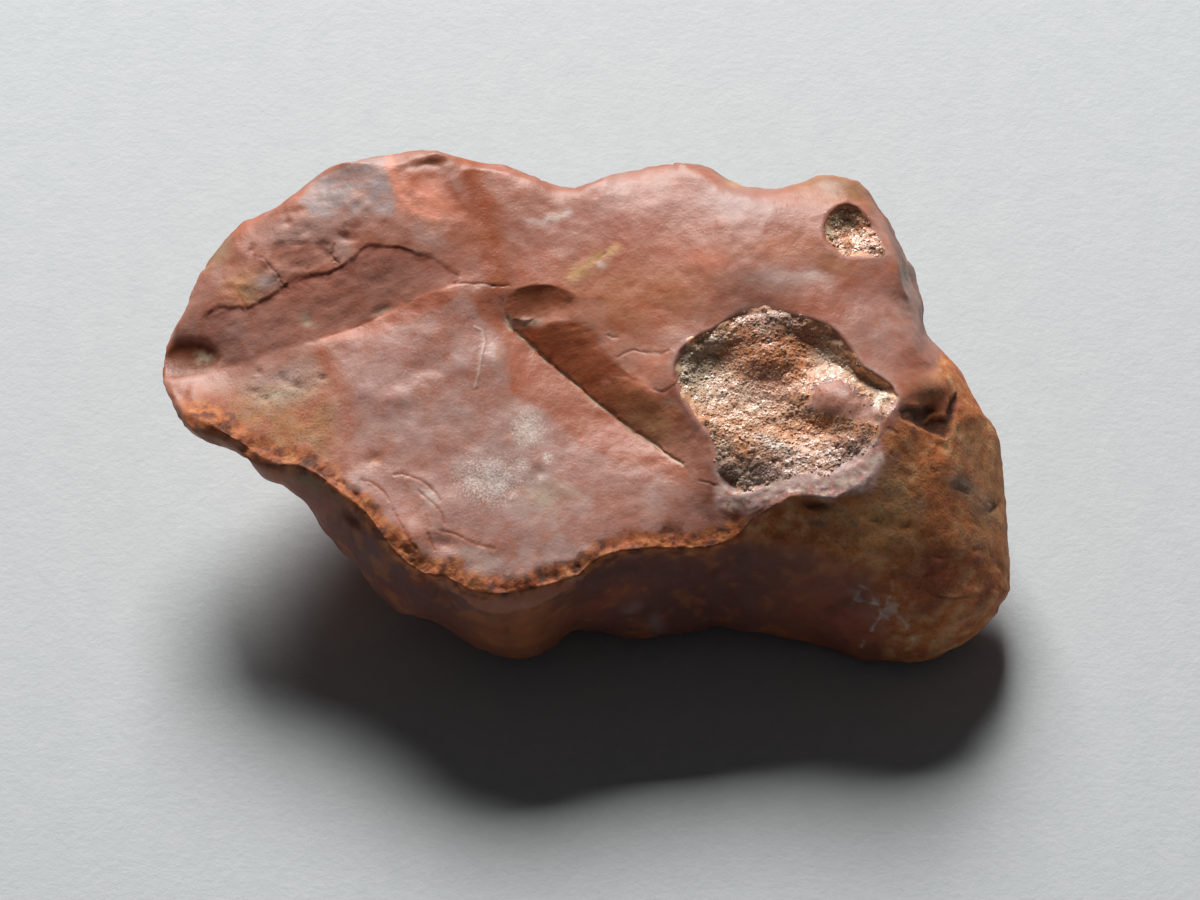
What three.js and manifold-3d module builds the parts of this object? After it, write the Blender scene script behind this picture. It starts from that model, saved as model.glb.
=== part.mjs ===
// A rough chunk of red jasper with two hollows lined with small quartz crystals.
// Millimetres, +Z up, +X along the stone. The origin is the middle of the box's underside.
//
// The broken upper side is laid out in a face frame: [across, up, out]. "across" is +X, "out" leans
// towards -Y from the vertical by FACE_LEAN, and "up" is square to both. The underside and the back,
// which are worn and simpler, are laid out in the upright frame: [x, y, z].
import * as THREE from 'three';
import { ImprovedNoise } from 'three/addons/math/ImprovedNoise.js';
import { mergeVertices } from 'three/addons/utils/BufferGeometryUtils.js';
import Module from 'manifold-3d';

const FACE_LEAN = 38 * Math.PI / 180;
const FACE_HEIGHT = 18;          // the face frame's origin above the surface that the stone rests on
const SPLIT_ROUNDS = 8;
const SUBDIVISIONS = 2;
const SHORT_EDGE = 2.15;         // an edge shorter than this isn't split
const FIT_ROUNDS = 4;            // how often the cage is moved so that the surface meets its points
const FIT_SHARE = 0.7;
const LUMP_SIZE = 4.5;           // wavelength of the small lumps that wear leaves
const LUMP_HEIGHT = 0.22;
const CUT_BLOCK = 200;           // the block that cuts the resting spot flat
const CRUST_GAP = 0.3;
const CRUST_EDGE = 0.3;          // thickness of a crust at its border
const CRUST_THICKNESS = 0.5;
const CRYSTAL_HEIGHT = 0.4;

const JASPER = { color: 0xa5614e, roughness: 0.55, metalness: 0 };
const DRUSE = { color: 0xd9a184, roughness: 0.3, metalness: 0 };

// ---------------------------------------------------------------- the upper side, in the face frame

// The outermost line, clockwise from the left tip.
const RIM = [
  [-43.9, 8.7, -5.5], [-43.2, 11.7, -6.5], [-41.7, 14.5, -7.5], [-40.6, 17.5, -8], [-38.8, 20.2, -8.5],
  [-36.7, 23.1, -9], [-34.3, 23.8, -9], [-31.7, 25.2, -9], [-29, 27.3, -9], [-25, 29.1, -9],
  [-22, 29.8, -8.5], [-18.7, 30.4, -8.5], [-16.2, 30.3, -8.5], [-13.3, 29.3, -8.5], [-9, 28.3, -8],
  [-4.3, 26.7, -7.5], [-0.8, 27.2, -7.5], [3.3, 28.1, -8], [5.8, 28.7, -8], [8.8, 29.1, -8.5],
  [11.2, 28.3, -8], [12.8, 27.1, -7.5], [15, 26.5, -7.5], [17.8, 26.4, -7.5], [20.8, 27.4, -8],
  [22.3, 28, -8.5], [25, 27.5, -8.5], [27.5, 25.8, -9], [29, 23.3, -11], [30.8, 19.5, -12],
  [32.2, 17, -11.5], [32.4, 13.2, -8], [34.5, 10, -5.5], [36.4, 7.5, -4.5], [38.8, 3.5, -5],
  [40.2, 1.3, -6], [40.7, -2, -7], [41.1, -6.5, -7.5], [41.5, -11.8, -7], [41.3, -14.3, -6],
  [39.8, -16.2, -5], [37.8, -18.8, -5], [34.2, -20.8, -4.5], [30.5, -21.4, -4.5], [26.2, -21.2, -4.8],
  [23, -19.7, -5.5], [20, -19.3, -6], [15, -18.5, -6], [12, -17.7, -5.5], [8.3, -18.6, -5],
  [4.2, -19, -4.5], [0, -18.4, -4], [-3, -18.3, -4], [-5.5, -20.2, -3], [-9.2, -20.9, -2],
  [-12.5, -19.8, -1.5], [-15, -17.9, -1], [-17.5, -16.7, -0.5], [-20, -16.1, 0], [-22.5, -14, 0.5],
  [-25, -10.5, 1], [-28.7, -6.3, 1], [-31.7, -3.6, 1], [-35, -1.2, 1], [-37.5, 0.3, 1],
  [-40, 1.1, 0.5], [-41.3, 2.5, 0], [-42.5, 3.8, -0.8], [-43.8, 6, -3],
];

// The edge between the lit top and the front wall, from the left tip to the right lobe.
const FRONT_RIDGE = [
  [-40.6, 3.4, 1.4], [-37.5, 1.8, 2.6], [-35, 0.2, 3], [-32.3, -1.4, 3.9], [-30, -1.4, 4.8],
  [-27.3, -2.8, 5.8], [-25, -4.7, 6.9], [-23, -6.3, 7.9], [-21.3, -9, 8.9], [-17.8, -12.2, 9.9],
  [-15.2, -12.5, 10.3], [-13.3, -13.7, 10.7], [-9.7, -14.2, 10.8], [-5, -13.2, 10.4], [-2, -12.3, 9.9],
  [0, -10.5, 9.5], [5, -9.7, 9.1], [10.3, -9.7, 8.8], [13.3, -8.8, 8.3], [14.8, -7.2, 8.2],
  [17.5, -5.3, 9], [20, -4.3, 9.4], [23, -4.8, 9.8], [25, -3.8, 9.8], [27.5, -2, 9.2], [28.8, 0.8, 7.9],
];

// The fold where the pink face meets the dark wall behind it.
const FOLD = [
  [-8.8, 12.2, -1.5], [-7.5, 10.8, -1], [-5, 8.7, -0.2], [-2, 6.2, 0.9], [1, 3.8, 2], [3.7, 1.7, 3.3],
  [6.3, -0.2, 4.9],
];

// The dark scar at the left: its upper edge, its foot and the bevel below it.
const SCAR_TOP = [
  [-40, 13.3, -4.8], [-38.3, 14.5, -4.5], [-35.7, 14.3, -4], [-33.3, 15.3, -3.9], [-30.3, 17.5, -4.1],
  [-27.3, 17.8, -3.9], [-23.3, 20.5, -4], [-20, 20.4, -3.8], [-16.7, 19.3, -3.3], [-14, 17.5, -2.6],
  [-11.3, 16.7, -2.2],
];
const SCAR_FOOT = [
  [-38.7, 8.3, -3.5], [-35, 8.8, -2.6], [-31.7, 10, -2.2], [-27.5, 11.2, -2.1], [-23.3, 12.8, -2.3],
  [-20, 14.3, -2.2], [-16.2, 16.1, -1.9],
];
const BEVEL_FOOT = [
  [-27.5, 10.4, -1.4], [-23.3, 11.3, -1.1], [-20, 12.6, -1.2], [-16.2, 14.3, -1.3], [-14.3, 15.8, -1.4],
];

// The dark oval scar and the wall that rises from the fold.
const OVAL_SCAR = [
  [-9.8, 14.5, -1.9], [-8.5, 16, -1.6], [-5.2, 16.6, -1.2], [-2.3, 15.4, -0.6], [-4, 14.2, -0.8],
  [-6.5, 13.2, -1], [-8.7, 13.2, -1.4],
];
const WALL_TOP = [
  [-5.5, 12.5, -0.5], [-3, 12.7, -0.1], [-1, 11.6, 0.5], [0, 9.8, 1.1], [2.5, 8, 2.1], [5, 6, 3.6],
];

// The large hollow's edge, its lower arm and the border of its crystals.
const LARGE_HOLLOW = [
  [11, 1, 6.4], [9.3, 3.3, 5.6], [7.9, 5.8, 4.8], [7.3, 8.6, 3.8], [8.8, 10.9, 2.7], [11.6, 12.2, 2.1],
  [14, 13.9, 1.6], [16.5, 14.4, 1.6], [19.5, 13.5, 2.2], [22.6, 12.5, 2.9], [24.6, 10.8, 3.8],
  [26.2, 8.2, 4.9], [28.2, 7, 5.3], [29.8, 5.2, 6.2], [28.2, 3, 7.4], [26.8, -0.2, 8.7],
  [24.2, -2.2, 9.1], [20.8, -2.9, 8.9], [17.5, -3.4, 8.4], [13.6, -4.6, 7.8], [11.4, -2, 7.2],
];
const SMALL_HOLLOW = [
  [22.4, 21, -0.9], [22.8, 23.6, -2.7], [24.8, 24.8, -3.9], [26.8, 23.5, -3.7], [28, 21.6, -2.9],
  [28.8, 19.5, -1.7], [26.8, 19.2, -0.9], [24.2, 19.4, -0.5],
];

// The upright edge of the right side, seen edge-on from the front.
const RIGHT_EDGE = [
  [28.2, 22.8, -4.6], [29.4, 20.7, -3], [29.9, 18.3, -1.5], [30.2, 16.5, -0.8],
  [31, 14.8, -1], [31.7, 13.8, -1.6],
];

// The groove in the front wall and the lower edge of the right lobe.
const WALL_GROOVE = [
  [15.5, -8.3, 7], [14.6, -9.6, 6.2], [13.2, -11.1, 4.8], [11.4, -13, 2.9], [9.4, -14.8, 1.4],
];
const LOBE_EDGE = [
  [17, -8.6, 7.4], [20, -9.3, 8], [25, -9.8, 8.6], [27.5, -10.5, 8.4], [29.7, -11.7, 7.9],
  [31.3, -13.7, 7], [34.7, -14.8, 5.2], [38, -14.8, 2.2],
];

// The lumps, dips and slopes between those lines.
const TOP_POINTS = [
  // left lobe: chip at the tip, orange crust, mauve top
  [-42, 9.4, -5], [-41.8, 6.3, -2], [-39, 5.5, -1.2], [-36, 5.4, -0.8], [-32, 4.4, 0.6], [-29, 7.4, -0.5],
  [-29.3, 2, 2.8], [-36.5, 11.4, -3.5], [-31, 13, -3], [-25.5, 15.2, -3.1], [-20, 17.3, -3],
  [-38.6, 17, -5.7], [-34.5, 19.2, -5.4], [-32.5, 22.3, -6.3], [-29, 20.8, -5.2], [-28, 24.4, -6.4],
  [-24.2, 24, -5.4], [-23.6, 27.3, -6.9], [-20, 22.6, -4.6], [-19.7, 26.5, -6.2],
  // salmon scar and the groove beside it
  [-17, 28.3, -7.2], [-17, 24.6, -5.4], [-14.6, 26, -6], [-14.8, 21.6, -4.1], [-12.3, 23.4, -5.4],
  [-12.2, 27, -6.9], [-10.8, 19.9, -3.8], [-9.7, 24, -5], [-7.8, 26.5, -6.1],
  // pink face
  [-26.4, 6.5, 0.9], [-26, 1.5, 3.2], [-24.5, -1.5, 4.9], [-22, 7.5, 1.2], [-21, 1.5, 3.9],
  [-19.5, -4.5, 6.7], [-18, 10, 0.4], [-17, 4.5, 2.8], [-15.5, -1.5, 5.5], [-15.5, -8, 8.6],
  [-13.2, 12, -0.2], [-12, 6.5, 2.3], [-11, 0.5, 4.8], [-10, -6, 7.7], [-10.6, 9.5, 0.7],
  [-8, 4.5, 2.6], [-6, -0.5, 4.8], [-4.5, -6.5, 7.6], [-3, 1.5, 3.6], [0, -4.5, 6.7], [1.8, -0.8, 4.9],
  [5, -4.6, 7], [8.6, -5.6, 7.9],
  // oval scar, wall behind the fold
  [-6.3, 14.8, -1.6], [-3.2, 10.6, 0.1], [0.2, 7.3, 1.5], [3.6, 4.6, 3], [6.2, 2.2, 4.6], [8.6, -1.2, 6.2],
  // long red slope behind, its dull band, bright band and mauve swelling
  [-7.2, 19.4, -2.9], [-5.2, 23.4, -4.7], [-3, 19, -2.2], [-1, 14.3, -0.2], [0.2, 24.4, -4.5],
  [1, 20.3, -2.4], [3.2, 11, 1.4], [4.4, 15.6, 0.1], [5.4, 25.6, -4.9], [6, 20.8, -2.2], [7.4, 12.6, 1.5],
  [9.6, 16.4, 0.5], [9.6, 26.2, -5.2], [11.4, 21.6, -1.6], [13.6, 17.6, 0.6], [14, 24.4, -3.4],
  [16.6, 21.2, -0.9], [17.2, 17.6, 0.9], [18.8, 24.4, -3.2], [20.4, 19.2, -0.2], [21.2, 16.2, 1.2],
  [22.4, 25.8, -5], [25.4, 26.3, -6],
  // right of the large hollow, out to the lobe's edge
  [25.6, 16.6, 0.5], [25.4, 13.4, 2.3], [28.4, 13.4, 1.4], [28.6, 10, 3.4], [31.8, 10.4, 1.2],
  [31.4, 7.2, 3.6], [34, 6.5, 1.4],
  // brown right end with its notch
  [30.8, 4, 5.8], [32.8, 2.9, 3], [35, 3.4, 2.2], [31.2, 0.6, 6.5], [37, 2.5, -0.6], [34.6, -0.6, 3.8],
  [30.6, -4.2, 7.8], [34, -5.6, 5.2], [37.6, -3.4, 0.8], [28.6, -7.4, 8.7], [32.4, -9.4, 7],
  [35.8, -10.4, 4.7], [38.8, -8.2, 0], [38.8, -12.6, 1],
  [18.6, -6.9, 8.6], [23.6, -7.2, 9], [26.4, -4.8, 9.4],
  // front wall, left to right
  [-38.6, 1.2, 2.2], [-28.4, -4.6, 4.3], [-25.4, -8, 4.6], [-22.4, -11.6, 5],
  [-18.2, -14.6, 5.6], [-14.6, -15.6, 6.6], [-11.4, -17.6, 6.4], [-7.2, -18, 5.9], [-4, -15.8, 6],
  [-1.4, -15.4, 4.2], [2.4, -13.6, 5], [4.2, -16.2, 1.4], [7.2, -12.6, 4.9], [8.6, -16.6, -1],
  [12.4, -15.4, 0.4], [15.6, -11.6, 5], [16, -15.2, 1.4], [19.6, -13.2, 4.6], [21, -16.6, 0.6],
  [24.6, -13.8, 5.4], [26.4, -18, 1.2], [29.2, -15.6, 4.8], [31, -18.8, 0.8], [34, -17.8, 2],
  [37.4, -16.6, 0.2],
];

// The floor of the large hollow (a slope, a swelling, two pits and the arm) and of the small one.
const HOLLOW_FLOORS = [
  [9.9, 8, 1.8], [10.8, 4.6, 3.8], [12.7, 10.6, 1.2], [13.6, 7.4, 2.6], [13.8, 3.2, 4.8], [16.4, 11.9, 1.7],
  [17, 8.6, 2.5], [17.4, 4.9, 4.2], [18.4, 1.4, 6], [20.2, 10.9, 1.4], [21, 7.6, 3], [22.9, 9.2, 2.1],
  [22.4, 5.6, 5.2], [25.2, 4.8, 6], [25, 7.3, 3.6], [27.5, 6, 3.8], [21.6, 1.8, 5.3], [24.6, 1.6, 7.2],
  [15.4, -0.8, 6.9], [13.7, -2.7, 6], [18.6, -1.4, 7.6], [22.8, -1, 8],
  [24.8, 22.9, -4.8], [26.4, 21, -3.5], [24.4, 20.9, -2.8],
];

// ------------------------------------------------------- the back and the underside, upright frame

const BACK_POINTS = [
  // just under the back edge, left to right
  [-35.4, 19, 20.6], [-19, 28.6, 21.8], [-11.4, 28.8, 22.4], [-3.6, 27, 20.6],
  [4.2, 28.6, 22.2], [19.6, 27.6, 21], [26.4, 26.4, 20.4],
  // half-way down
  [-32, 19.6, 14.6], [-25.6, 21.8, 12], [-12.2, 26.4, 12], [-5, 27.2, 13.6],
  [3.4, 27.8, 12], [20.6, 27, 13.6], [20.4, 24, 7.6], [35.6, 11.6, 11.6],
  [37.6, 2, 9],
  // the foot
  [-4.4, 21.4, 3.6], [2.6, 21, 2.4], [17.6, 18.6, 2.6],
  [33, 4.6, 3.6], [34.6, -5, 2.2], [29.4, -8.4, 0.6], [24, -8, 0.5],
  // the left lobe's underside
  [-36.4, 5, 14], [-32, 0, 12.8], [-27.2, 7.4, 8], [-25.2, -4.2, 8.8],
  [-19.8, -6.6, 4.6], [-19.4, 5.6, 3], [-12, -9.4, 1.6], [-3.4, -8.6, 0.8], [5, -7.6, 0.8],
];
// The blunt edges between the facets of the back and the underside.
const BACK_EDGES = [
  [[-27.5, 28, 23.4], [-22.4, 28.6, 17], [-16.8, 26.4, 9.6], [-11.8, 22.6, 4.4]],
  [[11.8, 30.2, 23], [14.4, 30.6, 16.6], [12.2, 28.6, 8.4], [9.8, 24, 3]],
  [[-40.8, 6.2, 17.4], [-34.4, 11.4, 13.6], [-27.2, 15.8, 8.6], [-19.4, 16.8, 4.2]],
  [[31.6, 22.6, 16.8], [31, 19.4, 9.6], [27.6, 13.4, 4.4]],
];
// The worn spot that the stone rests on: a ring a little below the table, and the cut makes it flat.
const FOOT = { x: 0.5, y: 5, halfLength: 12.5, halfWidth: 9, points: 8, depth: 0.35, middleDepth: 0.7 };

// --------------------------------------------------------------------------------- frames and lines

const cosLean = Math.cos(FACE_LEAN);
const sinLean = Math.sin(FACE_LEAN);

function faceToUpright([across, up, out]) {
  return new THREE.Vector3(
    across,
    up * cosLean - out * sinLean,
    up * sinLean + out * cosLean + FACE_HEIGHT,
  );
}

function uprightToFace([x, y, z]) {
  const height = z - FACE_HEIGHT;
  return [x, y * cosLean + height * sinLean, height * cosLean - y * sinLean];
}

function footPoints() {
  const ring = [[FOOT.x, FOOT.y, -FOOT.middleDepth]];
  for (let i = 0; i < FOOT.points; i += 1) {
    const turn = (i / FOOT.points) * 2 * Math.PI;
    ring.push([
      FOOT.x + FOOT.halfLength * Math.cos(turn),
      FOOT.y + FOOT.halfWidth * Math.sin(turn),
      -FOOT.depth,
    ]);
  }
  return ring;
}

function middle(a, b) {
  return a.map((value, i) => (value + b[i]) / 2);
}

function insideOutline([x, y], outline) {
  let inside = false;
  outline.forEach((a, i) => {
    const b = outline[(i + 1) % outline.length];
    const crosses = (a[1] > y) !== (b[1] > y);
    if (crosses && x < a[0] + (b[0] - a[0]) * (y - a[1]) / (b[1] - a[1])) {
      inside = !inside;
    }
  });
  return inside;
}

// --------------------------------------------------------------------------- the cage of triangles

const edgeKey = (i, j) => (i < j ? `${i}_${j}` : `${j}_${i}`);

function circleHolds(a, b, c, p) {
  const rows = [a, b, c].map((q) => [q[0] - p[0], q[1] - p[1]]);
  const squares = rows.map(([x, y]) => x * x + y * y);
  const [[ax, ay], [bx, by], [cx, cy]] = rows;
  return ax * (by * squares[2] - squares[1] * cy)
    - ay * (bx * squares[2] - squares[1] * cx)
    + squares[0] * (bx * cy - by * cx) > 1e-9;
}

// Bowyer and Watson's Delaunay triangulation of the points, seen along "out".
function triangulate(points) {
  const far = 500;
  const all = [...points, [-far, -far], [far, -far], [0, far]];
  let triangles = [[points.length, points.length + 1, points.length + 2]];
  points.forEach((point, index) => {
    const hit = triangles.filter(([a, b, c]) => circleHolds(all[a], all[b], all[c], point));
    const border = new Map();
    hit.forEach(([a, b, c]) => [[a, b], [b, c], [c, a]].forEach(([i, j]) => {
      const key = edgeKey(i, j);
      border.set(key, border.has(key) ? null : [i, j]);
    }));
    triangles = triangles.filter((triangle) => !hit.includes(triangle));
    border.forEach((edge) => {
      if (edge) {
        triangles.push([edge[0], edge[1], index]);
      }
    });
  });
  return triangles.filter((triangle) => triangle.every((i) => i < points.length));
}

function edgesOf(triangles) {
  const edges = new Set();
  triangles.forEach(([a, b, c]) => [[a, b], [b, c], [c, a]].forEach(([i, j]) => edges.add(edgeKey(i, j))));
  return edges;
}

// Splits each stretch of a line that the triangles do not follow. Returns whether it split any.
function splitMissing(line, closed, points, edges) {
  const place = new Map(points.map((point, i) => [point, i]));
  const last = closed ? line.length : line.length - 1;
  let changed = false;
  for (let i = last - 1; i >= 0; i -= 1) {
    const a = line[i];
    const b = line[(i + 1) % line.length];
    if (!edges.has(edgeKey(place.get(a), place.get(b)))) {
      line.splice(i + 1, 0, middle(a, b));
      changed = true;
    }
  }
  return changed;
}

// The closed cage: the upper side and the lower side, triangulated apart on one shared rim.
function buildCage({ rim, closedLines, openLines, topPoints, lowLines, lowPoints }) {
  for (let round = 0; round < SPLIT_ROUNDS; round += 1) {
    const top = [...rim, ...closedLines.flat(), ...openLines.flat(), ...topPoints];
    const low = [...rim, ...lowLines.flat(), ...lowPoints];
    const inRim = (points) => ([a, b, c]) => insideOutline(
      [0, 1].map((k) => (points[a][k] + points[b][k] + points[c][k]) / 3),
      rim,
    );
    const topTriangles = triangulate(top).filter(inRim(top));
    const lowTriangles = triangulate(low).filter(inRim(low));
    const topEdges = edgesOf(topTriangles);
    const lowEdges = edgesOf(lowTriangles);
    const splits = [
      ...lowLines.map((line) => splitMissing(line, false, low, lowEdges)),
      ...openLines.map((line) => splitMissing(line, false, top, topEdges)),
      ...closedLines.map((line) => splitMissing(line, true, top, topEdges)),
      splitMissing(rim, true, low, lowEdges) || splitMissing(rim, true, top, topEdges),
    ];
    if (!splits.includes(true)) {
      const shift = top.length - rim.length;
      const lowIndex = (i) => (i < rim.length ? i : i + shift);
      const points = [...top, ...low.slice(rim.length)];
      const sharp = new Set();
      const place = new Map(points.map((point, i) => [point, i]));
      const mark = (line, closed) => line.forEach((point, i) => {
        if (closed || i + 1 < line.length) {
          sharp.add(edgeKey(place.get(point), place.get(line[(i + 1) % line.length])));
        }
      });
      closedLines.forEach((line) => mark(line, true));
      [...openLines, ...lowLines].forEach((line) => mark(line, false));
      return {
        points: points.map((point) => new THREE.Vector3(...point)),
        triangles: [
          ...topTriangles,
          ...lowTriangles.map(([a, b, c]) => [lowIndex(a), lowIndex(c), lowIndex(b)]),
        ],
        sharp,
        topCount: topTriangles.length,
      };
    }
  }
  throw new Error('two lines of the cage cross');
}

// ------------------------------------------------------------------- subdivision with sharp edges

function loopStep({ points, triangles, sharp, topCount }) {
  const edges = new Map();
  const corners = points.map(() => ({ near: new Set(), sharpNear: [] }));
  triangles.forEach(([a, b, c]) => [[a, b, c], [b, c, a], [c, a, b]].forEach(([i, j, opposite]) => {
    const key = edgeKey(i, j);
    if (!edges.has(key)) {
      edges.set(key, { ends: [i, j], opposites: [] });
      if (sharp.has(key)) {
        corners[i].sharpNear.push(j);
        corners[j].sharpNear.push(i);
      }
    }
    edges.get(key).opposites.push(opposite);
    corners[i].near.add(j);
    corners[j].near.add(i);
  }));

  const moved = points.map((point, i) => {
    const { near, sharpNear } = corners[i];
    if (sharpNear.length > 2) {
      return point.clone();
    }
    if (sharpNear.length === 2) {
      return point.clone().multiplyScalar(3 / 4)
        .addScaledVector(points[sharpNear[0]], 1 / 8)
        .addScaledVector(points[sharpNear[1]], 1 / 8);
    }
    const spread = 3 / 8 + Math.cos(2 * Math.PI / near.size) / 4;
    const share = (5 / 8 - spread * spread) / near.size;
    const result = point.clone().multiplyScalar(1 - share * near.size);
    near.forEach((j) => result.addScaledVector(points[j], share));
    return result;
  });

  const nextSharp = new Set();
  edges.forEach((edge, key) => {
    const [i, j] = edge.ends;
    const isSharp = sharp.has(key);
    if (points[i].distanceTo(points[j]) < SHORT_EDGE) {
      if (isSharp) {
        nextSharp.add(key);
      }
      return;
    }
    edge.index = moved.length;
    const endShare = isSharp ? 1 / 2 : 3 / 8;
    const point = points[i].clone().add(points[j]).multiplyScalar(endShare);
    if (isSharp) {
      nextSharp.add(edgeKey(i, edge.index));
      nextSharp.add(edgeKey(j, edge.index));
    } else {
      edge.opposites.forEach((k) => point.addScaledVector(points[k], 1 / 8));
    }
    moved.push(point);
  });

  const pieces = triangles.map((triangle) => splitTriangle(triangle, edges));
  return {
    points: moved,
    triangles: pieces.flat(),
    sharp: nextSharp,
    topCount: pieces.slice(0, topCount).flat().length,
  };
}

// A triangle gives 4, 3, 2 or 1, as 3, 2, 1 or none of its edges were split.
function splitTriangle([a, b, c], edges) {
  const [ab, bc, ca] = [[a, b], [b, c], [c, a]].map(([i, j]) => edges.get(edgeKey(i, j)).index);
  const count = [ab, bc, ca].filter((index) => index !== undefined).length;
  if (count === 0) {
    return [[a, b, c]];
  }
  if (count === 3) {
    return [[a, ab, ca], [b, bc, ab], [c, ca, bc], [ab, bc, ca]];
  }
  if ((count === 1 && ab === undefined) || (count === 2 && bc !== undefined)) {
    return splitTriangle([b, c, a], edges);
  }
  return count === 1 ? [[a, ab, c], [ab, b, c]] : [[a, ab, ca], [ab, b, ca], [b, c, ca]];
}

function subdivide(cage) {
  let mesh = cage;
  for (let i = 0; i < SUBDIVISIONS; i += 1) {
    mesh = loopStep(mesh);
  }
  return mesh;
}

// Subdivision pulls a surface in, so the cage is first moved out until the surface meets its points.
function surfaceThrough(cage) {
  const control = { ...cage, points: cage.points.map((point) => point.clone()) };
  for (let round = 0; round < FIT_ROUNDS; round += 1) {
    const { points } = subdivide(control);
    control.points.forEach((point, i) => {
      point.addScaledVector(cage.points[i].clone().sub(points[i]), FIT_SHARE);
    });
  }
  return subdivide(control);
}

// ------------------------------------------------------------------------------ meshes and solids

function toGeometry(points, triangles) {
  const geometry = new THREE.BufferGeometry();
  geometry.setAttribute('position', new THREE.Float32BufferAttribute(points.flatMap((p) => p.toArray()), 3));
  geometry.setIndex(triangles.flat());
  return geometry;
}

const wasm = await Module();
wasm.setup();

function toSolid(source) {
  const bare = source.clone();
  bare.deleteAttribute('normal');
  bare.deleteAttribute('uv');
  const geometry = mergeVertices(bare);
  return new wasm.Manifold(new wasm.Mesh({
    numProp: 3,
    vertProperties: new Float32Array(geometry.attributes.position.array),
    triVerts: new Uint32Array(geometry.index.array),
  }));
}

function fromSolid(solid) {
  const { vertProperties, triVerts } = solid.getMesh();
  const geometry = new THREE.BufferGeometry();
  geometry.setAttribute('position', new THREE.Float32BufferAttribute(vertProperties, 3));
  geometry.setIndex(new THREE.Uint32BufferAttribute(triVerts, 1));
  return geometry;
}

// Everything below the resting plane is cut away, which leaves the flat spot.
function cutFlat(geometry) {
  const block = new THREE.BoxGeometry(CUT_BLOCK, CUT_BLOCK, CUT_BLOCK).translate(0, 0, -CUT_BLOCK / 2);
  return fromSolid(toSolid(geometry).subtract(toSolid(block)));
}

// ------------------------------------------------------------------------------------- the crusts

// A crust follows a hollow's floor at CRUST_GAP, one ring of triangles inside its edge. Its back is
// the floor moved out, its front is thicker towards the middle, with every third corner drawn up
// into a crystal.
function buildCrust(surface, outline) {
  const flat = (point) => [point.x, point.y];
  const centre = ([a, b, c]) => [0, 1].map((k) => (
    surface.points[a].getComponent(k) + surface.points[b].getComponent(k) + surface.points[c].getComponent(k)
  ) / 3);
  const inside = surface.triangles.slice(0, surface.topCount).filter((t) => insideOutline(centre(t), outline));
  const onEdge = new Set();
  openEdges(inside).forEach(([i, j]) => onEdge.add(i).add(j));
  const floor = inside.filter((triangle) => !triangle.some((i) => onEdge.has(i)));
  const border = openEdges(floor);
  const thin = new Set(border.flat());

  const place = new Map();
  [...new Set(floor.flat())].forEach((corner, i) => place.set(corner, i));
  const count = place.size;
  const back = [];
  const front = [];
  place.forEach((i, corner) => {
    const [x, y] = flat(surface.points[corner]);
    const crystal = i % 3 === 0 ? CRYSTAL_HEIGHT : 0;
    const thickness = thin.has(corner) ? CRUST_EDGE : CRUST_THICKNESS + crystal;
    const floorHeight = surface.points[corner].z + CRUST_GAP;
    back.push(new THREE.Vector3(x, y, floorHeight));
    front.push(new THREE.Vector3(x, y, floorHeight + thickness));
  });
  const frontTriangles = floor.map((triangle) => triangle.map((corner) => place.get(corner) + count));
  const backTriangles = floor.map(([a, b, c]) => [place.get(a), place.get(c), place.get(b)]);
  const sides = border.flatMap(([i, j]) => {
    const [a, b] = [place.get(i), place.get(j)];
    return [[a, b, b + count], [a, b + count, a + count]];
  });
  return { points: [...back, ...front], triangles: [...backTriangles, ...frontTriangles, ...sides] };
}

// The edges that only one of the triangles has, in that triangle's direction.
function openEdges(triangles) {
  const edges = new Map();
  triangles.forEach(([a, b, c]) => [[a, b], [b, c], [c, a]].forEach(([i, j]) => {
    const key = edgeKey(i, j);
    edges.set(key, edges.has(key) ? null : [i, j]);
  }));
  return [...edges.values()].filter((edge) => edge);
}

// --------------------------------------------------------------------------------------- the stone

// Wear leaves low lumps all over the outside.
function addLumps(point) {
  const noise = new ImprovedNoise();
  const [x, y, z] = point.toArray().map((value) => value / LUMP_SIZE);
  return point.clone().multiplyScalar(1 + LUMP_HEIGHT * noise.noise(x, y, z) / Math.max(point.length(), 1));
}

const closedLines = [OVAL_SCAR, LARGE_HOLLOW, SMALL_HOLLOW];
const openLines = [
  FRONT_RIDGE, FOLD, SCAR_TOP, SCAR_FOOT, BEVEL_FOOT, WALL_TOP, RIGHT_EDGE, WALL_GROOVE, LOBE_EDGE,
];
const lowPoints = [...BACK_POINTS, ...footPoints()].map(uprightToFace);
const cage = buildCage({
  rim: RIM,
  closedLines,
  openLines,
  topPoints: [...TOP_POINTS, ...HOLLOW_FLOORS],
  lowLines: BACK_EDGES.map((line) => line.map(uprightToFace)),
  lowPoints,
});
const surface = surfaceThrough(cage);
surface.points = surface.points.map(addLumps);

const upright = (mesh) => toGeometry(mesh.points.map((p) => faceToUpright(p.toArray())), mesh.triangles);
const stone = cutFlat(upright(surface));
stone.computeBoundingBox();
const middleOfBox = stone.boundingBox.getCenter(new THREE.Vector3());

const jasper = new THREE.Group();

function addPiece(name, geometry, look) {
  const mesh = new THREE.Mesh(geometry, new THREE.MeshStandardMaterial({ ...look, flatShading: true }));
  mesh.name = name;
  mesh.position.set(-middleOfBox.x, -middleOfBox.y, 0);
  jasper.add(mesh);
}

addPiece('jasper_stone', stone, JASPER);
addPiece('quartz_crust_large', upright(buildCrust(surface, LARGE_HOLLOW)), DRUSE);
addPiece('quartz_crust_small', upright(buildCrust(surface, SMALL_HOLLOW)), DRUSE);

export default jasper;
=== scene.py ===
"""Jasper with two quartz-lined hollows: the finish of the stone, its crystals, the light and the camera."""

import math

import bmesh
import bpy
import numpy as np
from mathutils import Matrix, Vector, noise


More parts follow.
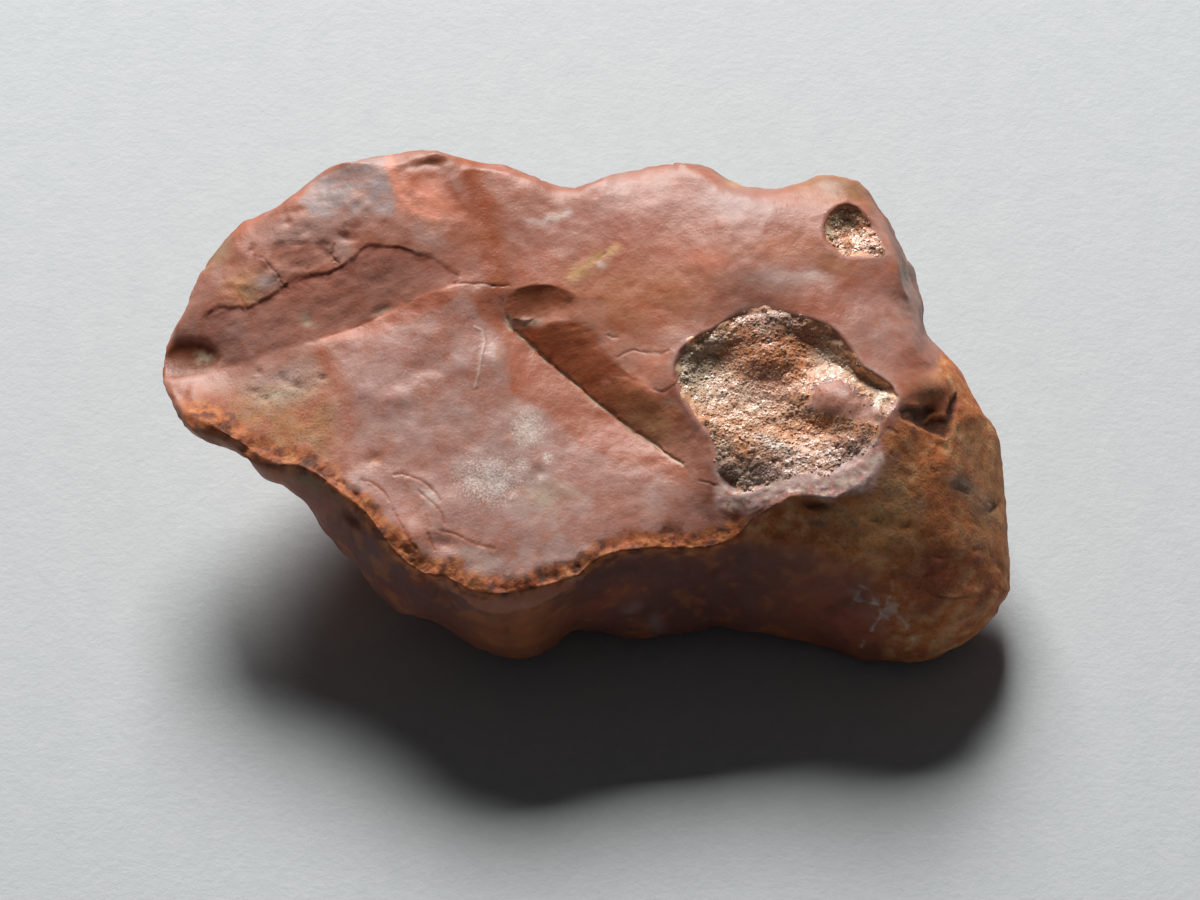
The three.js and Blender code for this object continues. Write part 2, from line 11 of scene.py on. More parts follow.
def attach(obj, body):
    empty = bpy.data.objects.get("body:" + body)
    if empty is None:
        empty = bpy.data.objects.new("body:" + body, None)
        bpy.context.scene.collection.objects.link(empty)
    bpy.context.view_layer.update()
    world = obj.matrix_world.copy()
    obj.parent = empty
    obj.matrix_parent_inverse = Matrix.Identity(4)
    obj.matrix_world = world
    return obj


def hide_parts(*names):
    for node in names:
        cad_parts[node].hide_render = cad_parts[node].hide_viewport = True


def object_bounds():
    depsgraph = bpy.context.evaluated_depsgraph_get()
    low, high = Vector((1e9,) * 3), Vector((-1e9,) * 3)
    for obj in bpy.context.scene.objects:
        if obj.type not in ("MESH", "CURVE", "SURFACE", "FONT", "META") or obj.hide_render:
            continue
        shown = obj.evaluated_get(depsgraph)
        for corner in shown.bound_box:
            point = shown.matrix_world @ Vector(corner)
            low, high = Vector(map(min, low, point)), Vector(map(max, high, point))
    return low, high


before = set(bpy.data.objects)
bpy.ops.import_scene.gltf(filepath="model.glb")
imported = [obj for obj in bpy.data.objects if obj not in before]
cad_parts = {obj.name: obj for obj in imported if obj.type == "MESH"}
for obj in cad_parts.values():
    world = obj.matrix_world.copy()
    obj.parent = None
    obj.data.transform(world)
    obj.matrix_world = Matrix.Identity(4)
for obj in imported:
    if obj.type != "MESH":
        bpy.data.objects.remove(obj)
cad_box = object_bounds()

MM = 0.001

# The face frame of the broken upper side: across is +X, out leans to -Y by FACE_LEAN, up is square
# to both. Outlines and marks below are [across, up] in millimetres from FACE_ORIGIN.
FACE_LEAN = math.radians(38)
FACE_ORIGIN = [1.354, -6.355, 18.0]
FACE_UP = np.array([0, math.cos(FACE_LEAN), math.sin(FACE_LEAN)])
FACE_OUT = np.array([0, -math.sin(FACE_LEAN), math.cos(FACE_LEAN)])

# The camera's picture is VIEW_WIDTH wide at the stone. Millimetres.
VIEW_WIDTH = 120
CAMERA_DISTANCE = 900
SENSOR_WIDTH = 36

# Light and floor, in metres.
LAMP_PLACE = (-0.1, 0.74, 0.68)
LAMP_SIZE = 0.45
LAMP_POWER = 19
LAMP_COLOUR = (1, 0.98, 0.95)
SKY_COLOUR = (0.95, 0.97, 1)
SKY_STRENGTH = 0.045
FLOOR_REACH = 3
CLIP_END = 10

# ---- outlines

LARGE_HOLLOW = [
    [11, 1], [9.3, 3.3], [7.9, 5.8], [7.3, 8.6], [8.8, 10.9], [11.6, 12.2], [14, 13.9], [16.5, 14.4],
    [19.5, 13.5], [22.6, 12.5], [24.6, 10.8], [26.2, 8.2], [28.2, 7], [29.8, 5.2], [28.2, 3],
    [26.8, -0.2], [24.2, -2.2], [20.8, -2.9], [17.5, -3.4], [13.6, -4.6], [11.4, -2],
]
SMALL_HOLLOW = [
    [22.4, 21], [22.8, 23.6], [24.8, 24.8], [26.8, 23.5], [28, 21.6], [28.8, 19.5], [26.8, 19.2],
    [24.2, 19.4],
]
# The bare swelling in the large hollow, and the frosted border below the hollow.
SWELLING = [
    [20, 4], [20.8, 6.2], [23.2, 7.3], [25, 6.6], [26.6, 5], [28.4, 3.6], [29, 2.2], [25.4, 2.6],
    [22.6, 3.4],
]
APRON = [
    [11.2, 0.2], [13, -0.6], [16, -0.2], [19.4, -1], [22, 0.4], [27.6, 2.2], [28, -1], [27, -4],
    [23, -4.8], [19, -4.3], [17, -5.2], [14.5, -6.2], [11.6, -5.6], [11.4, -2],
]
DARK_SCAR = [
    [-40, 13.3], [-38.3, 14.5], [-35.7, 14.3], [-33.3, 15.3], [-30.3, 17.5], [-27.3, 17.8], [-23.3, 20.5],
    [-20, 20.4], [-16.7, 19.3], [-14, 17.5], [-14.2, 16.9], [-16.2, 16.1], [-20, 14.3], [-23.3, 12.8],
    [-27.5, 11.2], [-31.7, 10], [-35, 8.8], [-38.7, 8.3],
]
UPPER_SCAR = [
    [-33.4, 19.2], [-32.3, 20.5], [-30, 20.9], [-27.2, 20.7], [-26.9, 19.2], [-28.2, 18.6], [-29.8, 17.8],
    [-31, 18],
]
TIP_CHIP = [
    [-44, 8.5], [-43.7, 9.8], [-42.5, 10.8], [-41, 11.2], [-39.5, 10.8], [-38.7, 10], [-38.3, 9],
    [-39.5, 8], [-41, 7.6], [-42.5, 7.5], [-43.5, 7.5],
]
BEVEL = [
    [-28, 11], [-23.3, 12.8], [-20, 14.3], [-16.2, 16.1], [-14, 16.8], [-14.3, 15.6], [-16.2, 14.3],
    [-20, 12.6], [-23.3, 11.3], [-27.5, 10.4],
]
OVAL_SCAR = [
    [-9.8, 14.5], [-8.5, 16], [-5.2, 16.6], [-2.3, 15.4], [-4, 14.2], [-6.5, 13.2], [-8.7, 13.2],
]
WALL = [
    [-5.5, 12.5], [-3, 12.7], [-1, 11.6], [0, 9.8], [2.5, 8], [5, 6], [8, 3.4], [11, -1], [10, -2.5],
    [6.3, -0.2], [3.7, 1.7], [1, 3.8], [-2, 6.2], [-5, 8.7], [-7.5, 10.8], [-7.4, 12.6],
]
# Behind the fold: the stained wall, the pale saddle above it and the cracked block beside it.
STAINED_WALL = [
    [-8.4, 12.2], [-7, 12.7], [-5.2, 12.4], [-2.5, 12.8], [-1, 11.8], [0, 10.5], [1.2, 9], [2.8, 7.6],
    [1.5, 7.2], [0.3, 6.4], [-0.2, 5.4], [0.6, 4], [-2, 6.2], [-5, 8.7], [-7.5, 10.8],
]
SADDLE = [
    [-9.2, 12.8], [-6.6, 13.1], [-4, 14.1], [-2, 15], [-0.8, 15.4], [0.8, 14.4], [0.2, 12.4], [-2.5, 13],
    [-5.2, 12.7], [-8, 12.5],
]
BLOCK = [
    [-0.6, 12], [0.4, 10.5], [1.6, 9], [3.2, 7.6], [4.2, 6.6], [5.6, 5.8], [7.2, 6.4], [7.2, 9.8],
    [5, 10.5], [2, 11.5], [0, 12.6],
]
PINK_FACE = [
    [-27.5, 10.4], [-23.3, 11.3], [-20, 12.6], [-16.2, 14.3], [-14.3, 15.8], [-10, 11], [-9.2, 8.2],
    [-8.9, 5.6], [-7.5, 4.5], [-5.2, 3.4], [-4, 2], [-2, 0.6], [3, -1.6], [9, -4], [12, -6], [13, -9],
    [5, -9.8], [0, -10.6], [-2, -12.2], [-5, -13.2], [-9.7, -14.1], [-13.3, -13.6], [-17.8, -12.1],
    [-21.3, -9], [-23, -6.3], [-25, -3], [-26, 2],
]
SMOOTH_STRIP = [
    [-14.2, 16.6], [-10, 11.6], [-9, 9.8], [-8.8, 7.5], [-8.6, 5.9], [-7.4, 4.9], [-5.2, 3.8],
    [-3.8, 2.4], [-1, 0.4], [4, -1.8], [9, -3], [8.4, -1.4], [6.3, -0.2], [1, 3.8], [-5, 8.7],
    [-8.8, 12.2], [-9.3, 13.2],
]
ORANGE_FACE = [
    [-41, 3], [-40, 5.4], [-33, 7.4], [-27.5, 10], [-26.5, 6.5], [-26.3, 1], [-28, -1.5], [-32.3, -1.4],
    [-35, 0.2], [-37.5, 1.8],
]
MAUVE_PATCH = [
    [-30.2, 25], [-28.5, 27], [-25.5, 28.7], [-21.4, 29.6], [-20.9, 27], [-20.5, 24.5], [-21.2, 23.6],
    [-23, 23.8], [-26, 23.2], [-29, 23.7],
]
SALMON_SCAR = [
    [-21.2, 28.9], [-20, 28.6], [-17, 27.9], [-15.3, 27.2], [-14.4, 25.5], [-13.6, 24], [-14.5, 23.5],
    [-17, 23.2], [-19.5, 23.6], [-20.5, 25], [-20.9, 27],
]
BROWN_END = [
    [13.5, -8], [17.5, -5.3], [20, -4.3], [23, -4.8], [25, -3.8], [27.5, -2], [28, 1.5], [30.5, 4],
    [33.5, 7.8], [34.5, 10], [38, 10], [48, 0], [48, -24], [30, -24], [27, -12], [20, -9.6], [16, -9],
]
NOTCH = [
    [29.7, 3.8], [30.5, 4.2], [33, 4.5], [33.5, 3.8], [32.5, 3], [34.5, 3], [35, 5], [35.5, 5.6],
    [35.8, 5], [35.3, 3.5], [35, 2.3], [34.5, 1.3], [33, 1.7], [31.6, 2.4], [30, 3],
]

# The edge between the lit top and the front wall.
FRONT_RIDGE = [
    [-40.6, 3.4], [-37.5, 1.8], [-35, 0.2], [-32.3, -1.4], [-30, -1.4], [-27.3, -2.8], [-25, -4.7],
    [-23, -6.3], [-21.3, -9], [-17.8, -12.2], [-15.2, -12.5], [-13.3, -13.7], [-9.7, -14.2], [-5, -13.2],
    [-2, -12.3], [0, -10.5], [5, -9.7], [10.3, -9.7], [13.3, -8.8], [14.8, -7.2], [17.5, -5.3],
    [20, -4.3], [23, -4.8],
]
# Its crumbled band.
RIDGE_BAND = [[across, up + 0.6] for across, up in FRONT_RIDGE]
# The fold where the pink face meets the dark wall, with pale dust caught in it.
FOLD = [
    [-9.3, 13.2], [-8.8, 12.2], [-7.5, 10.8], [-5, 8.7], [-2, 6.2], [1, 3.8], [3.7, 1.7], [6.3, -0.2],
    [8.4, -1.4],
]
# The crisp upper edge of the dark scar, and the smooth seam left of the pink face.
SCAR_EDGE = [
    [-14.5, 17.3], [-17, 18.8], [-20, 20.2], [-22.5, 20.5], [-23.8, 20.3], [-25, 19.5], [-26.5, 18.3],
    [-28, 17.7], [-30, 16.7], [-31.7, 16], [-33.8, 15], [-35, 14.5], [-36.5, 14.7], [-39, 13.5],
]
SEAM = [[-28, 10.2], [-27, 8.2], [-26, 6.4], [-25.2, 4], [-25.2, 0], [-25.6, -2.6]]
GROOVE = [[-13.6, 29.6], [-12.6, 26.6], [-11.8, 23.6], [-11, 20.2], [-10.2, 17.4]]
SALMON_RIM = [[-21.3, 29.2], [-20.8, 27.4], [-20.1, 25.6], [-18.8, 24.2], [-16.4, 23.3]]
SALMON_SHADE = [[-15.6, 27.4], [-14.4, 25.4], [-13.4, 23.8], [-11.8, 22.6]]
OCHRE_STREAK = [[-2.9, 17.3], [-1.8, 18], [-0.8, 18.9], [0.4, 19.5], [1.7, 20.4]]
SCRATCH = [[-7.2, 22.9], [-5.8, 22.7], [-5.2, 23.6], [-4.4, 23.3], [-3.3, 23.9]]
FLAKE_LINE = [[-12.5, 12.3], [-11.8, 11.9], [-11.5, 10.8], [-11.9, 9.2], [-12.1, 7.6], [-12.5, 6.2]]
FLAKE_ARC = [[0.3, 6.6], [1.2, 7.2], [2.5, 7.4], [4, 6.7], [5.4, 6]]
STAR_ARMS = [
    [[28.4, -15.8], [27.6, -15.4], [26.6, -15], [25.2, -14.8]], [[28, -16], [26.8, -14.2], [25.8, -13.4]],
    [[28.6, -15.8], [29, -14], [29, -12.4]], [[28.8, -15.8], [29.9, -15.4], [30.4, -14.6]],
    [[29.2, -15.8], [30.2, -17], [31.3, -18.8]],
    [[28, -16.2], [27.4, -17.6], [26.6, -18.6], [26.4, -19.6]], [[25.8, -14.2], [24.6, -15.4]],
    [[27.2, -15.2], [28.8, -16.8]],
]
RIPPLES = [
    [[-20.5, -2.5], [-19.7, -2.4], [-18.8, -2.7], [-17.8, -3.1], [-17, -3.6], [-16.3, -4.3], [-15.9, -5]],
    [[-18, -4.1], [-17.2, -4.8], [-16.4, -5.5], [-15.8, -6.2], [-15.4, -7.3]],
    [[-15.9, -8], [-14.5, -8.3], [-13, -9], [-12, -9.4], [-10.4, -9.8]],
    [[-23.7, -3], [-22.8, -3.2], [-22, -3.7], [-21.3, -4.4], [-21, -5]], [[-17.2, -6.5], [-16.9, -7.7]],
    [[-17, -8.4], [-16.7, -9.2], [-16.4, -9.9]], [[-20.5, -6], [-19.5, -8], [-18.8, -9.3], [-18.2, -9.8]],
]
CRACKS = [
    [[-10.8, 16.4], [-9.2, 16.5]], [[-35.2, 20], [-33.8, 19.2], [-33, 18.2], [-32, 17], [-31.3, 16.3]],
    [[-26.8, 20.6], [-27.1, 19.6], [-26.4, 18.9]], [[2, 9.3], [3.2, 10], [4.6, 9.6], [7, 9.9]],
    [[0.6, 11.4], [1.6, 11.1]], [[5.4, 6], [6.4, 5.7], [7.6, 6.7]], [[9.8, -3.1], [11.4, -3.4]],
    [[34.9, 5.2], [35.3, 3.4], [34.8, 1.8]], [[-14.6, 16.9], [-12.4, 16.6], [-10.6, 16.4]],
    [[28.6, 2.3], [29.6, 1.6]], [[38.6, -5.2], [39.8, -5.6]],
]

# Small marks: [height, across, up, half width, half height, turn in degrees]. A pit's height is below 0.
DENTS = [
    [-0.3, -25.7, 21.5, 1, 0.45, -8], [-0.2, -31.3, 22.8, 0.4, 0.3], [-0.3, -17.7, 28.8, 2, 0.5, 8],
    [-0.25, -34.9, 20.4, 0.4, 0.3, 20], [-0.3, -31.6, 7.3, 0.6, 0.35, -40], [-0.25, -34.5, 5.8, 0.5, 0.2],
    [-0.25, -34.3, 7.8, 0.4, 0.25, -20], [-0.3, -30.2, 6.5, 1, 0.35, -15], [-0.3, -27.8, 7.2, 0.5, 0.3],
    [-0.25, -29.2, 13.2, 0.8, 0.8, 20], [-0.2, -21.8, 13.9, 0.8, 0.5, 10],
    [-0.2, -22.5, -1, 0.9, 0.5, 25], [-0.25, -8.6, -4, 0.4, 0.3], [-0.25, -6.1, -2.2, 0.4, 0.5],
    [-0.25, -18, 8, 2.6, 1.2, 35], [0.15, -20.4, 5.4, 2.2, 0.8, 20], [0.2, -10.4, 9.2, 0.8, 1.8, 15],
    [0.3, -18.6, -8.6, 1, 1.5, 20], [0.2, -15, -11, 1.6, 0.8, -10], [-0.2, -15.4, -9.3, 1.2, 0.6],
    [0.35, 4.2, 5.4, 1.8, 1.2, -30], [0.25, 23.6, 5, 2.2, 1.5, -20], [-0.3, 39.4, -5.8, 0.7, 0.3, 20],
    [-0.25, 35.9, -3.9, 0.9, 0.25, -10], [-0.2, 30.9, -2.6, 0.4, 0.4], [0.45, 33.2, 6.4, 2.2, 1.1, -10],
    [0.35, 39.6, -14.5, 1.4, 0.8, 40], [0.4, 36.6, -16.4, 2, 0.5, 25], [-0.35, 21.6, -5.5, 1.4, 0.4],
    [-0.2, 21.2, -6.9, 0.6, 0.25, -20], [-0.5, -24.6, -6.9, 1.3, 0.45, -35],
    [-0.5, -15.4, -14.6, 1.8, 0.5, -52], [-0.35, -9.2, -18.1, 0.6, 0.6], [-0.25, -41.6, 5.6, 0.8, 0.8],
    [-0.3, 24, -15.4, 3, 0.8, 30], [-0.3, 2.4, -12, 2.4, 0.5, 12], [-0.2, 30.4, -7.6, 0.6, 0.3],
    [-0.2, 33.6, -10.6, 0.8, 0.25, -15], [-0.15, 27.2, -7, 0.5, 0.3],
]

# ---- palette

RED = (0.47, 0.185, 0.12)
PINK = (0.51, 0.24, 0.19)
MAUVE = (0.56, 0.36, 0.32)
GREY_MAUVE = (0.43, 0.31, 0.3)
ORANGE_RED = (0.50, 0.165, 0.09)
SALMON = (0.86, 0.32, 0.2)
ORANGE = (0.50, 0.22, 0.09)
BRIGHT_ORANGE = (0.6, 0.23, 0.11)
DEEP_ORANGE = (0.42, 0.1, 0.03)
DEEP_RED = (0.5, 0.14, 0.07)
SCAR_RED = (0.46, 0.185, 0.125)
# Deep red of iron stains, also used as painted shadow along the ripples.
STAIN_AND_SHADE_RED = (0.45, 0.13, 0.05)
BROWN = (0.6, 0.2, 0.06)
LIGHT_BROWN = (0.72, 0.36, 0.17)
DARK_BROWN = (0.12, 0.045, 0.025)
WALL_SHADE_BROWN = (0.2, 0.075, 0.06)
BRICK = (0.42, 0.12, 0.07)
WORN_RED = (0.38, 0.14, 0.09)
WORN_BROWN = (0.40, 0.17, 0.085)
WORN_TAN = (0.5, 0.27, 0.16)
WORN_RIM = (0.24, 0.11, 0.08)
TAN = (0.9, 0.47, 0.2)
LIGHT_RED = (0.64, 0.28, 0.19)
OCHRE = (0.68, 0.38, 0.16)
OLIVE = (0.33, 0.25, 0.14)
GREY_GREEN = (0.6, 0.5, 0.36)
GREY = (0.3, 0.23, 0.18)
LILAC = (0.6, 0.37, 0.36)
WHITE = (0.82, 0.72, 0.66)
SUGAR = (0.95, 0.48, 0.27)
AMBER = (0.95, 0.34, 0.1)
CREAM = (0.93, 0.72, 0.56)

# ---- the stone's detail

SHARP_BEND = 30          # degrees between two of the CAD stone's triangles
OUTLINED_BEND = 9        # the same along a line that is known to be an edge
SHARP_REACH = 0.5
SHARP_LINES = [DARK_SCAR, FOLD, WALL, FRONT_RIDGE, LARGE_HOLLOW, SMALL_HOLLOW, OVAL_SCAR]
FINE_REACH = 0.45        # the mesh is twice as fine this close to a mark
THIN_LINES = [FOLD, FLAKE_LINE, FLAKE_ARC, *RIPPLES, *CRACKS, *STAR_ARMS]
FINE_LINES = [SCAR_EDGE, WALL, OVAL_SCAR, RIDGE_BAND, NOTCH, OCHRE_STREAK, BEVEL, *THIN_LINES]
THIN_REACH = 0.25        # and four times as fine this close to a thin one
LOWEST_LINE = -12        # marks lie above this on the out axis
WALL_HEIGHT = 9
RIDGE_WIDTH = 1.2
DARK_PIT = -0.3
STREAK_TURN = 20
STREAK_SQUEEZE = 0.2
SOFT_FACETS = 0.76       # how far a crystal's facets are shaded like the bed under it
MASKS = ["frost", "weathered", "torn", "dust"]

# ---- the druse's colours

# [colour, strength, across, up, half width, half height, turn in degrees]
DRUSE_PATCHES = [
    [GREY_GREEN, 0.95, 9.6, 8, 3, 3], [GREY_GREEN, 0.9, 22.8, 9.4, 2.2, 1.3, -30],
    [GREY_GREEN, 0.7, 27, 6.4, 2.6, 1, -40], [AMBER, 0.8, 17, 9.6, 3.4, 1.6],
    [AMBER, 0.5, 14, 2, 3.5, 1.5], [AMBER, 0.9, 21.6, 2.4, 2.8, 0.9, 15],
    [AMBER, 0.5, 17, 4, 1.4, 0.8], [CREAM, 0.8, 15.6, 5.4, 2.6, 2, -30],
    [MAUVE, 0.8, 16, 13.4, 4.5, 0.9], [BRICK, 0.7, 16, 12.4, 1.6, 0.8],
    # The deep orange under the top rim at across 17.4, up 10.9: the druse's own orange, partly painted
    # shade under the rim.
    [BRICK, 0.5, 20.2, 12, 1.8, 0.6], [DEEP_ORANGE, 0.6, 17.4, 10.9, 4, 0.8],
    [CREAM, 0.8, 11.4, 11.2, 1.2, 0.8, 20], [MAUVE, 0.8, 24.6, -0.8, 4, 1.6],
    [MAUVE, 0.9, 16, -2.4, 5, 1.9], [SALMON, 0.6, 17, 7, 4, 3], [PINK, 0.5, 25, 0.2, 3, 1.6, -10],
    [AMBER, 0.6, 19, 8.4, 3, 1.4], [MAUVE, 0.7, 12, -4, 2, 2], [WHITE, 0.7, 17.5, 0.3, 3, 0.5, -25],
    [OLIVE, 0.6, 13.9, -2.6, 1.5, 1, 20], [CREAM, 0.7, 15.2, -3.8, 1.2, 0.7],
    # Painted shade: the dark olive at the small hollow's upper left, across 24.4, up 23.2.
    [BROWN, 0.7, 25.6, 22, 4, 4], [OLIVE, 0.9, 24.4, 23.2, 1.6, 1.2],
    [GREY_GREEN, 0.8, 23.2, 22, 0.9, 1.4], [MAUVE, 0.5, 26.8, 20.4, 2, 1],
]
# Where the larger, clearer crystals stand: [across, up, half width, half height].
SPARKLING = [
    [14.5, 13, 5, 1], [11.3, 11.4, 1.6, 0.8], [17.4, 11, 1, 1], [24, -1.6, 4, 1.8], [13, -4, 2, 1],
    [12, -1.6, 1, 1.4], [29, 4.8, 1.2, 1], [17, 0.4, 4, 0.5], [19, 3.4, 1.6, 1], [26, 20.6, 2, 1],
    [13.5, 2.4, 2, 2], [12.7, 6, 1.6, 2],
]
# [count, smallest radius, largest radius, where]
LARGE_HOLLOW_CRYSTALS = [[10200, 0.05, 0.14, "all over"], [600, 0.1, 0.25, "sparkling"]]
SMALL_HOLLOW_CRYSTALS = [[1300, 0.07, 0.16, "all over"], [90, 0.12, 0.26, "sparkling"]]
# Where the bed is thicker: [height, across, up, half width, half height].
BED_MOUNDS = [
    [0.7, 16, 11.2, 3.6, 1.6], [0.9, 17, 8.8, 3, 1.6], [0.4, 11.6, 10.6, 1.4, 1],
    [0.9, 13.8, -2.8, 1.8, 1.2], [0.4, 24, 4.8, 2.6, 1.4],
]

# ---- mesh helpers

def cad_surface(name):
    """The node's own points in millimetres and its triangles."""
    working = bmesh.new()
    working.from_mesh(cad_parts[name].data)
    bmesh.ops.remove_doubles(working, verts=working.verts, dist=0.001 * MM)
    bmesh.ops.triangulate(working, faces=working.faces)
    working.verts.index_update()
    points = np.array([vertex.co[:] for vertex in working.verts]) / MM
    triangles = np.array([[vertex.index for vertex in face.verts] for face in working.faces])
    working.free()
    return points, triangles


def unit(vectors):
    return vectors / np.maximum(np.linalg.norm(vectors, axis=1, keepdims=True), 1e-12)


def triangle_crosses(points, triangles):
    """Each triangle's normal, as long as twice its area."""
    a, b, c = (points[triangles[:, i]] for i in range(3))
    return np.cross(b - a, c - a)


def point_normals(points, triangles):
    crosses = triangle_crosses(points, triangles)
    normals = np.zeros_like(points)
    for i in range(3):
        np.add.at(normals, triangles[:, i], crosses)
    return unit(normals)


def edges_of(triangles):
    """Each edge once, and for every triangle the numbers of its three edges."""
    pairs = np.concatenate([triangles[:, [0, 1]], triangles[:, [1, 2]], triangles[:, [2, 0]]])
    edges, numbers = np.unique(np.sort(pairs, axis=1), axis=0, return_inverse=True)
    return edges, numbers.reshape(3, -1).T


def sharp_edges(points, triangles, degrees):
    """Which edges bend by more than an angle."""
    edges, numbers = edges_of(triangles)
    normals = unit(triangle_crosses(points, triangles))
    total = np.zeros((len(edges), 3))
    for i in range(3):
        np.add.at(total, numbers[:, i], normals)
    # Two unit normals at an angle t add up to a length of 2 cos(t / 2).
    return np.linalg.norm(total, axis=1) < 2 * math.cos(math.radians(degrees) / 2)


def subdivide(points, triangles, sharp):
    """One step of Loop subdivision that keeps the sharp edges."""
    edges, numbers = edges_of(triangles)
    ends = points[edges]
    opposite = np.zeros((len(edges), 3))
    for i in range(3):
        np.add.at(opposite, numbers[:, i], points[triangles[:, (i + 2) % 3]])
    smooth_points = ends.sum(axis=1) * 3 / 8 + opposite / 8
    edge_points = np.where(sharp[:, None], ends.mean(axis=1), smooth_points)

    count = np.zeros(len(points))
    around = np.zeros_like(points)
    sharp_count = np.zeros(len(points))
    sharp_around = np.zeros_like(points)
    for i in (0, 1):
        np.add.at(count, edges[:, i], 1)
        np.add.at(around, edges[:, i], ends[:, 1 - i])
        np.add.at(sharp_count, edges[sharp, i], 1)
        np.add.at(sharp_around, edges[sharp, i], ends[sharp, 1 - i])
    spread = 3 / 8 + np.cos(2 * np.pi / count) / 4
    share = (5 / 8 - spread ** 2) / count
    smooth = points * (1 - share * count)[:, None] + around * share[:, None]
    creased = points * 3 / 4 + sharp_around / 8
    moved = np.where((sharp_count == 2)[:, None], creased, smooth)
    moved = np.where((sharp_count > 2)[:, None], points, moved)

    a, b, c = triangles.T
    ab, bc, ca = (numbers + len(points)).T
    quarters = [[a, ab, ca], [b, bc, ab], [c, ca, bc], [ab, bc, ca]]
    split = np.concatenate([np.stack(quarter, 1) for quarter in quarters])
    new_points = np.concatenate([moved, edge_points])
    new_edges, _ = edges_of(split)
    halves = np.arange(len(edges)) + len(points)
    sharp_halves = {
        (end, half) for half, pair, is_sharp in zip(halves, edges, sharp) if is_sharp for end in pair
    }
    new_sharp = np.array([(first, second) in sharp_halves for first, second in new_edges])
    return new_points, split, new_sharp


def split_edges(points, triangles, chosen):
    """Halves the chosen edges; a triangle with 3, 2 or 1 of them becomes 4, 3 or 2 triangles."""
    edges, numbers = edges_of(triangles)
    halves = np.full(len(edges), -1)
    halves[chosen] = len(points) + np.arange(chosen.sum())
    new_points = np.concatenate([points, points[edges[chosen]].mean(axis=1)])
    marks = halves[numbers]
    count = (marks >= 0).sum(axis=1)
    pieces = [triangles[count == 0]]
    for turn in range(3):
        a, b, c = np.roll(triangles, -turn, axis=1).T
        ab, bc, ca = np.roll(marks, -turn, axis=1).T
        one = (count == 1) & (ab >= 0)
        pieces += [np.stack(corners, 1)[one] for corners in ((a, ab, c), (ab, b, c))]
        two = (count == 2) & (bc < 0)
        pieces += [np.stack(corners, 1)[two] for corners in ((a, ab, ca), (ab, b, ca), (b, c, ca))]
    three = count == 3
    a, b, c = triangles[three].T
    ab, bc, ca = marks[three].T
    pieces += [np.stack(corners, 1) for corners in ((a, ab, ca), (b, bc, ab), (c, ca, bc), (ab, bc, ca))]
    return new_points, np.concatenate(pieces)


def make_object(name, points, triangles, smooth=True):
    """A mesh object from points in millimetres."""
    mesh = bpy.data.meshes.new(name)
    mesh.from_pydata((points * MM).tolist(), [], triangles.tolist())
    mesh.polygons.foreach_set("use_smooth", [smooth] * len(triangles))
    mesh.update()
    piece = bpy.data.objects.new(name, mesh)
    bpy.context.scene.collection.objects.link(piece)
    return piece


def add_layer(piece, name, values, kind="FLOAT", key="value"):
    """A value for every point of a piece, which its material reads by name."""
    layer = piece.data.attributes.new(name, kind, "POINT")
    layer.data.foreach_set(key, values.astype(np.float32).ravel())


def add_place(piece, name, places):
    add_layer(piece, name, places, "FLOAT_VECTOR", "vector")


def add_colour(piece, name, colours):
    with_alpha = np.concatenate([colours, np.ones((len(colours), 1))], axis=1)
    add_layer(piece, name, with_alpha, "FLOAT_COLOR", "color")


# ---- fields and stamps

def ramp(low, high, values):
    t = np.clip((values - low) / (high - low), 0, 1)
    return t * t * (3 - 2 * t)


def fractal(points, size, octaves=4, seed=0):
    """Seeded fractal noise, about -1 to 1, whose largest lumps are size across."""
    shift = Vector((13.7 * seed, -7.1 * seed, 5.3 * seed))
    return np.array([
        noise.fractal(Vector(point) / size + shift, 1.0, 2.0, octaves) for point in points
    ])


def line_distance(u, v, line, closed=False):
    points = np.stack([u, v], 1)
    corners = np.array(line, float)
    starts = corners if closed else corners[:-1]
    ends = np.roll(corners, -1, axis=0) if closed else corners[1:]
    best = np.full(len(u), 1e9)
    for start, end in zip(starts, ends):
        along = end - start
        t = np.clip(((points - start) @ along) / (along @ along), 0, 1)
        best = np.minimum(best, np.linalg.norm(points - start - t[:, None] * along, axis=1))
    return best


def inside_distance(u, v, outline):
    """Distance to a closed outline, positive inside."""
    inside = np.zeros(len(u), bool)
    corners = np.array(outline, float)
    for start, end in zip(corners, np.roll(corners, -1, axis=0)):
        if start[1] == end[1]:
            continue
        crosses = (start[1] > v) != (end[1] > v)
        inside ^= crosses & (u < start[0] + (end[0] - start[0]) * (v - start[1]) / (end[1] - start[1]))
    distance = line_distance(u, v, outline, closed=True)
    return np.where(inside, distance, -distance)


def face_place(points):
    """Across, up and out of points in the face frame."""
    local = points - FACE_ORIGIN
    return local[:, 0], local @ FACE_UP, local @ FACE_OUT


def soft_spot(u, v, across, up, half_width, half_height, turn=0):
    """A soft oval mark, 1 in the middle."""
    du, dv = u - across, v - up
    cos, sin = math.cos(math.radians(turn)), math.sin(math.radians(turn))
    return np.exp(-((du * cos + dv * sin) / half_width) ** 2 - ((dv * cos - du * sin) / half_height) ** 2)


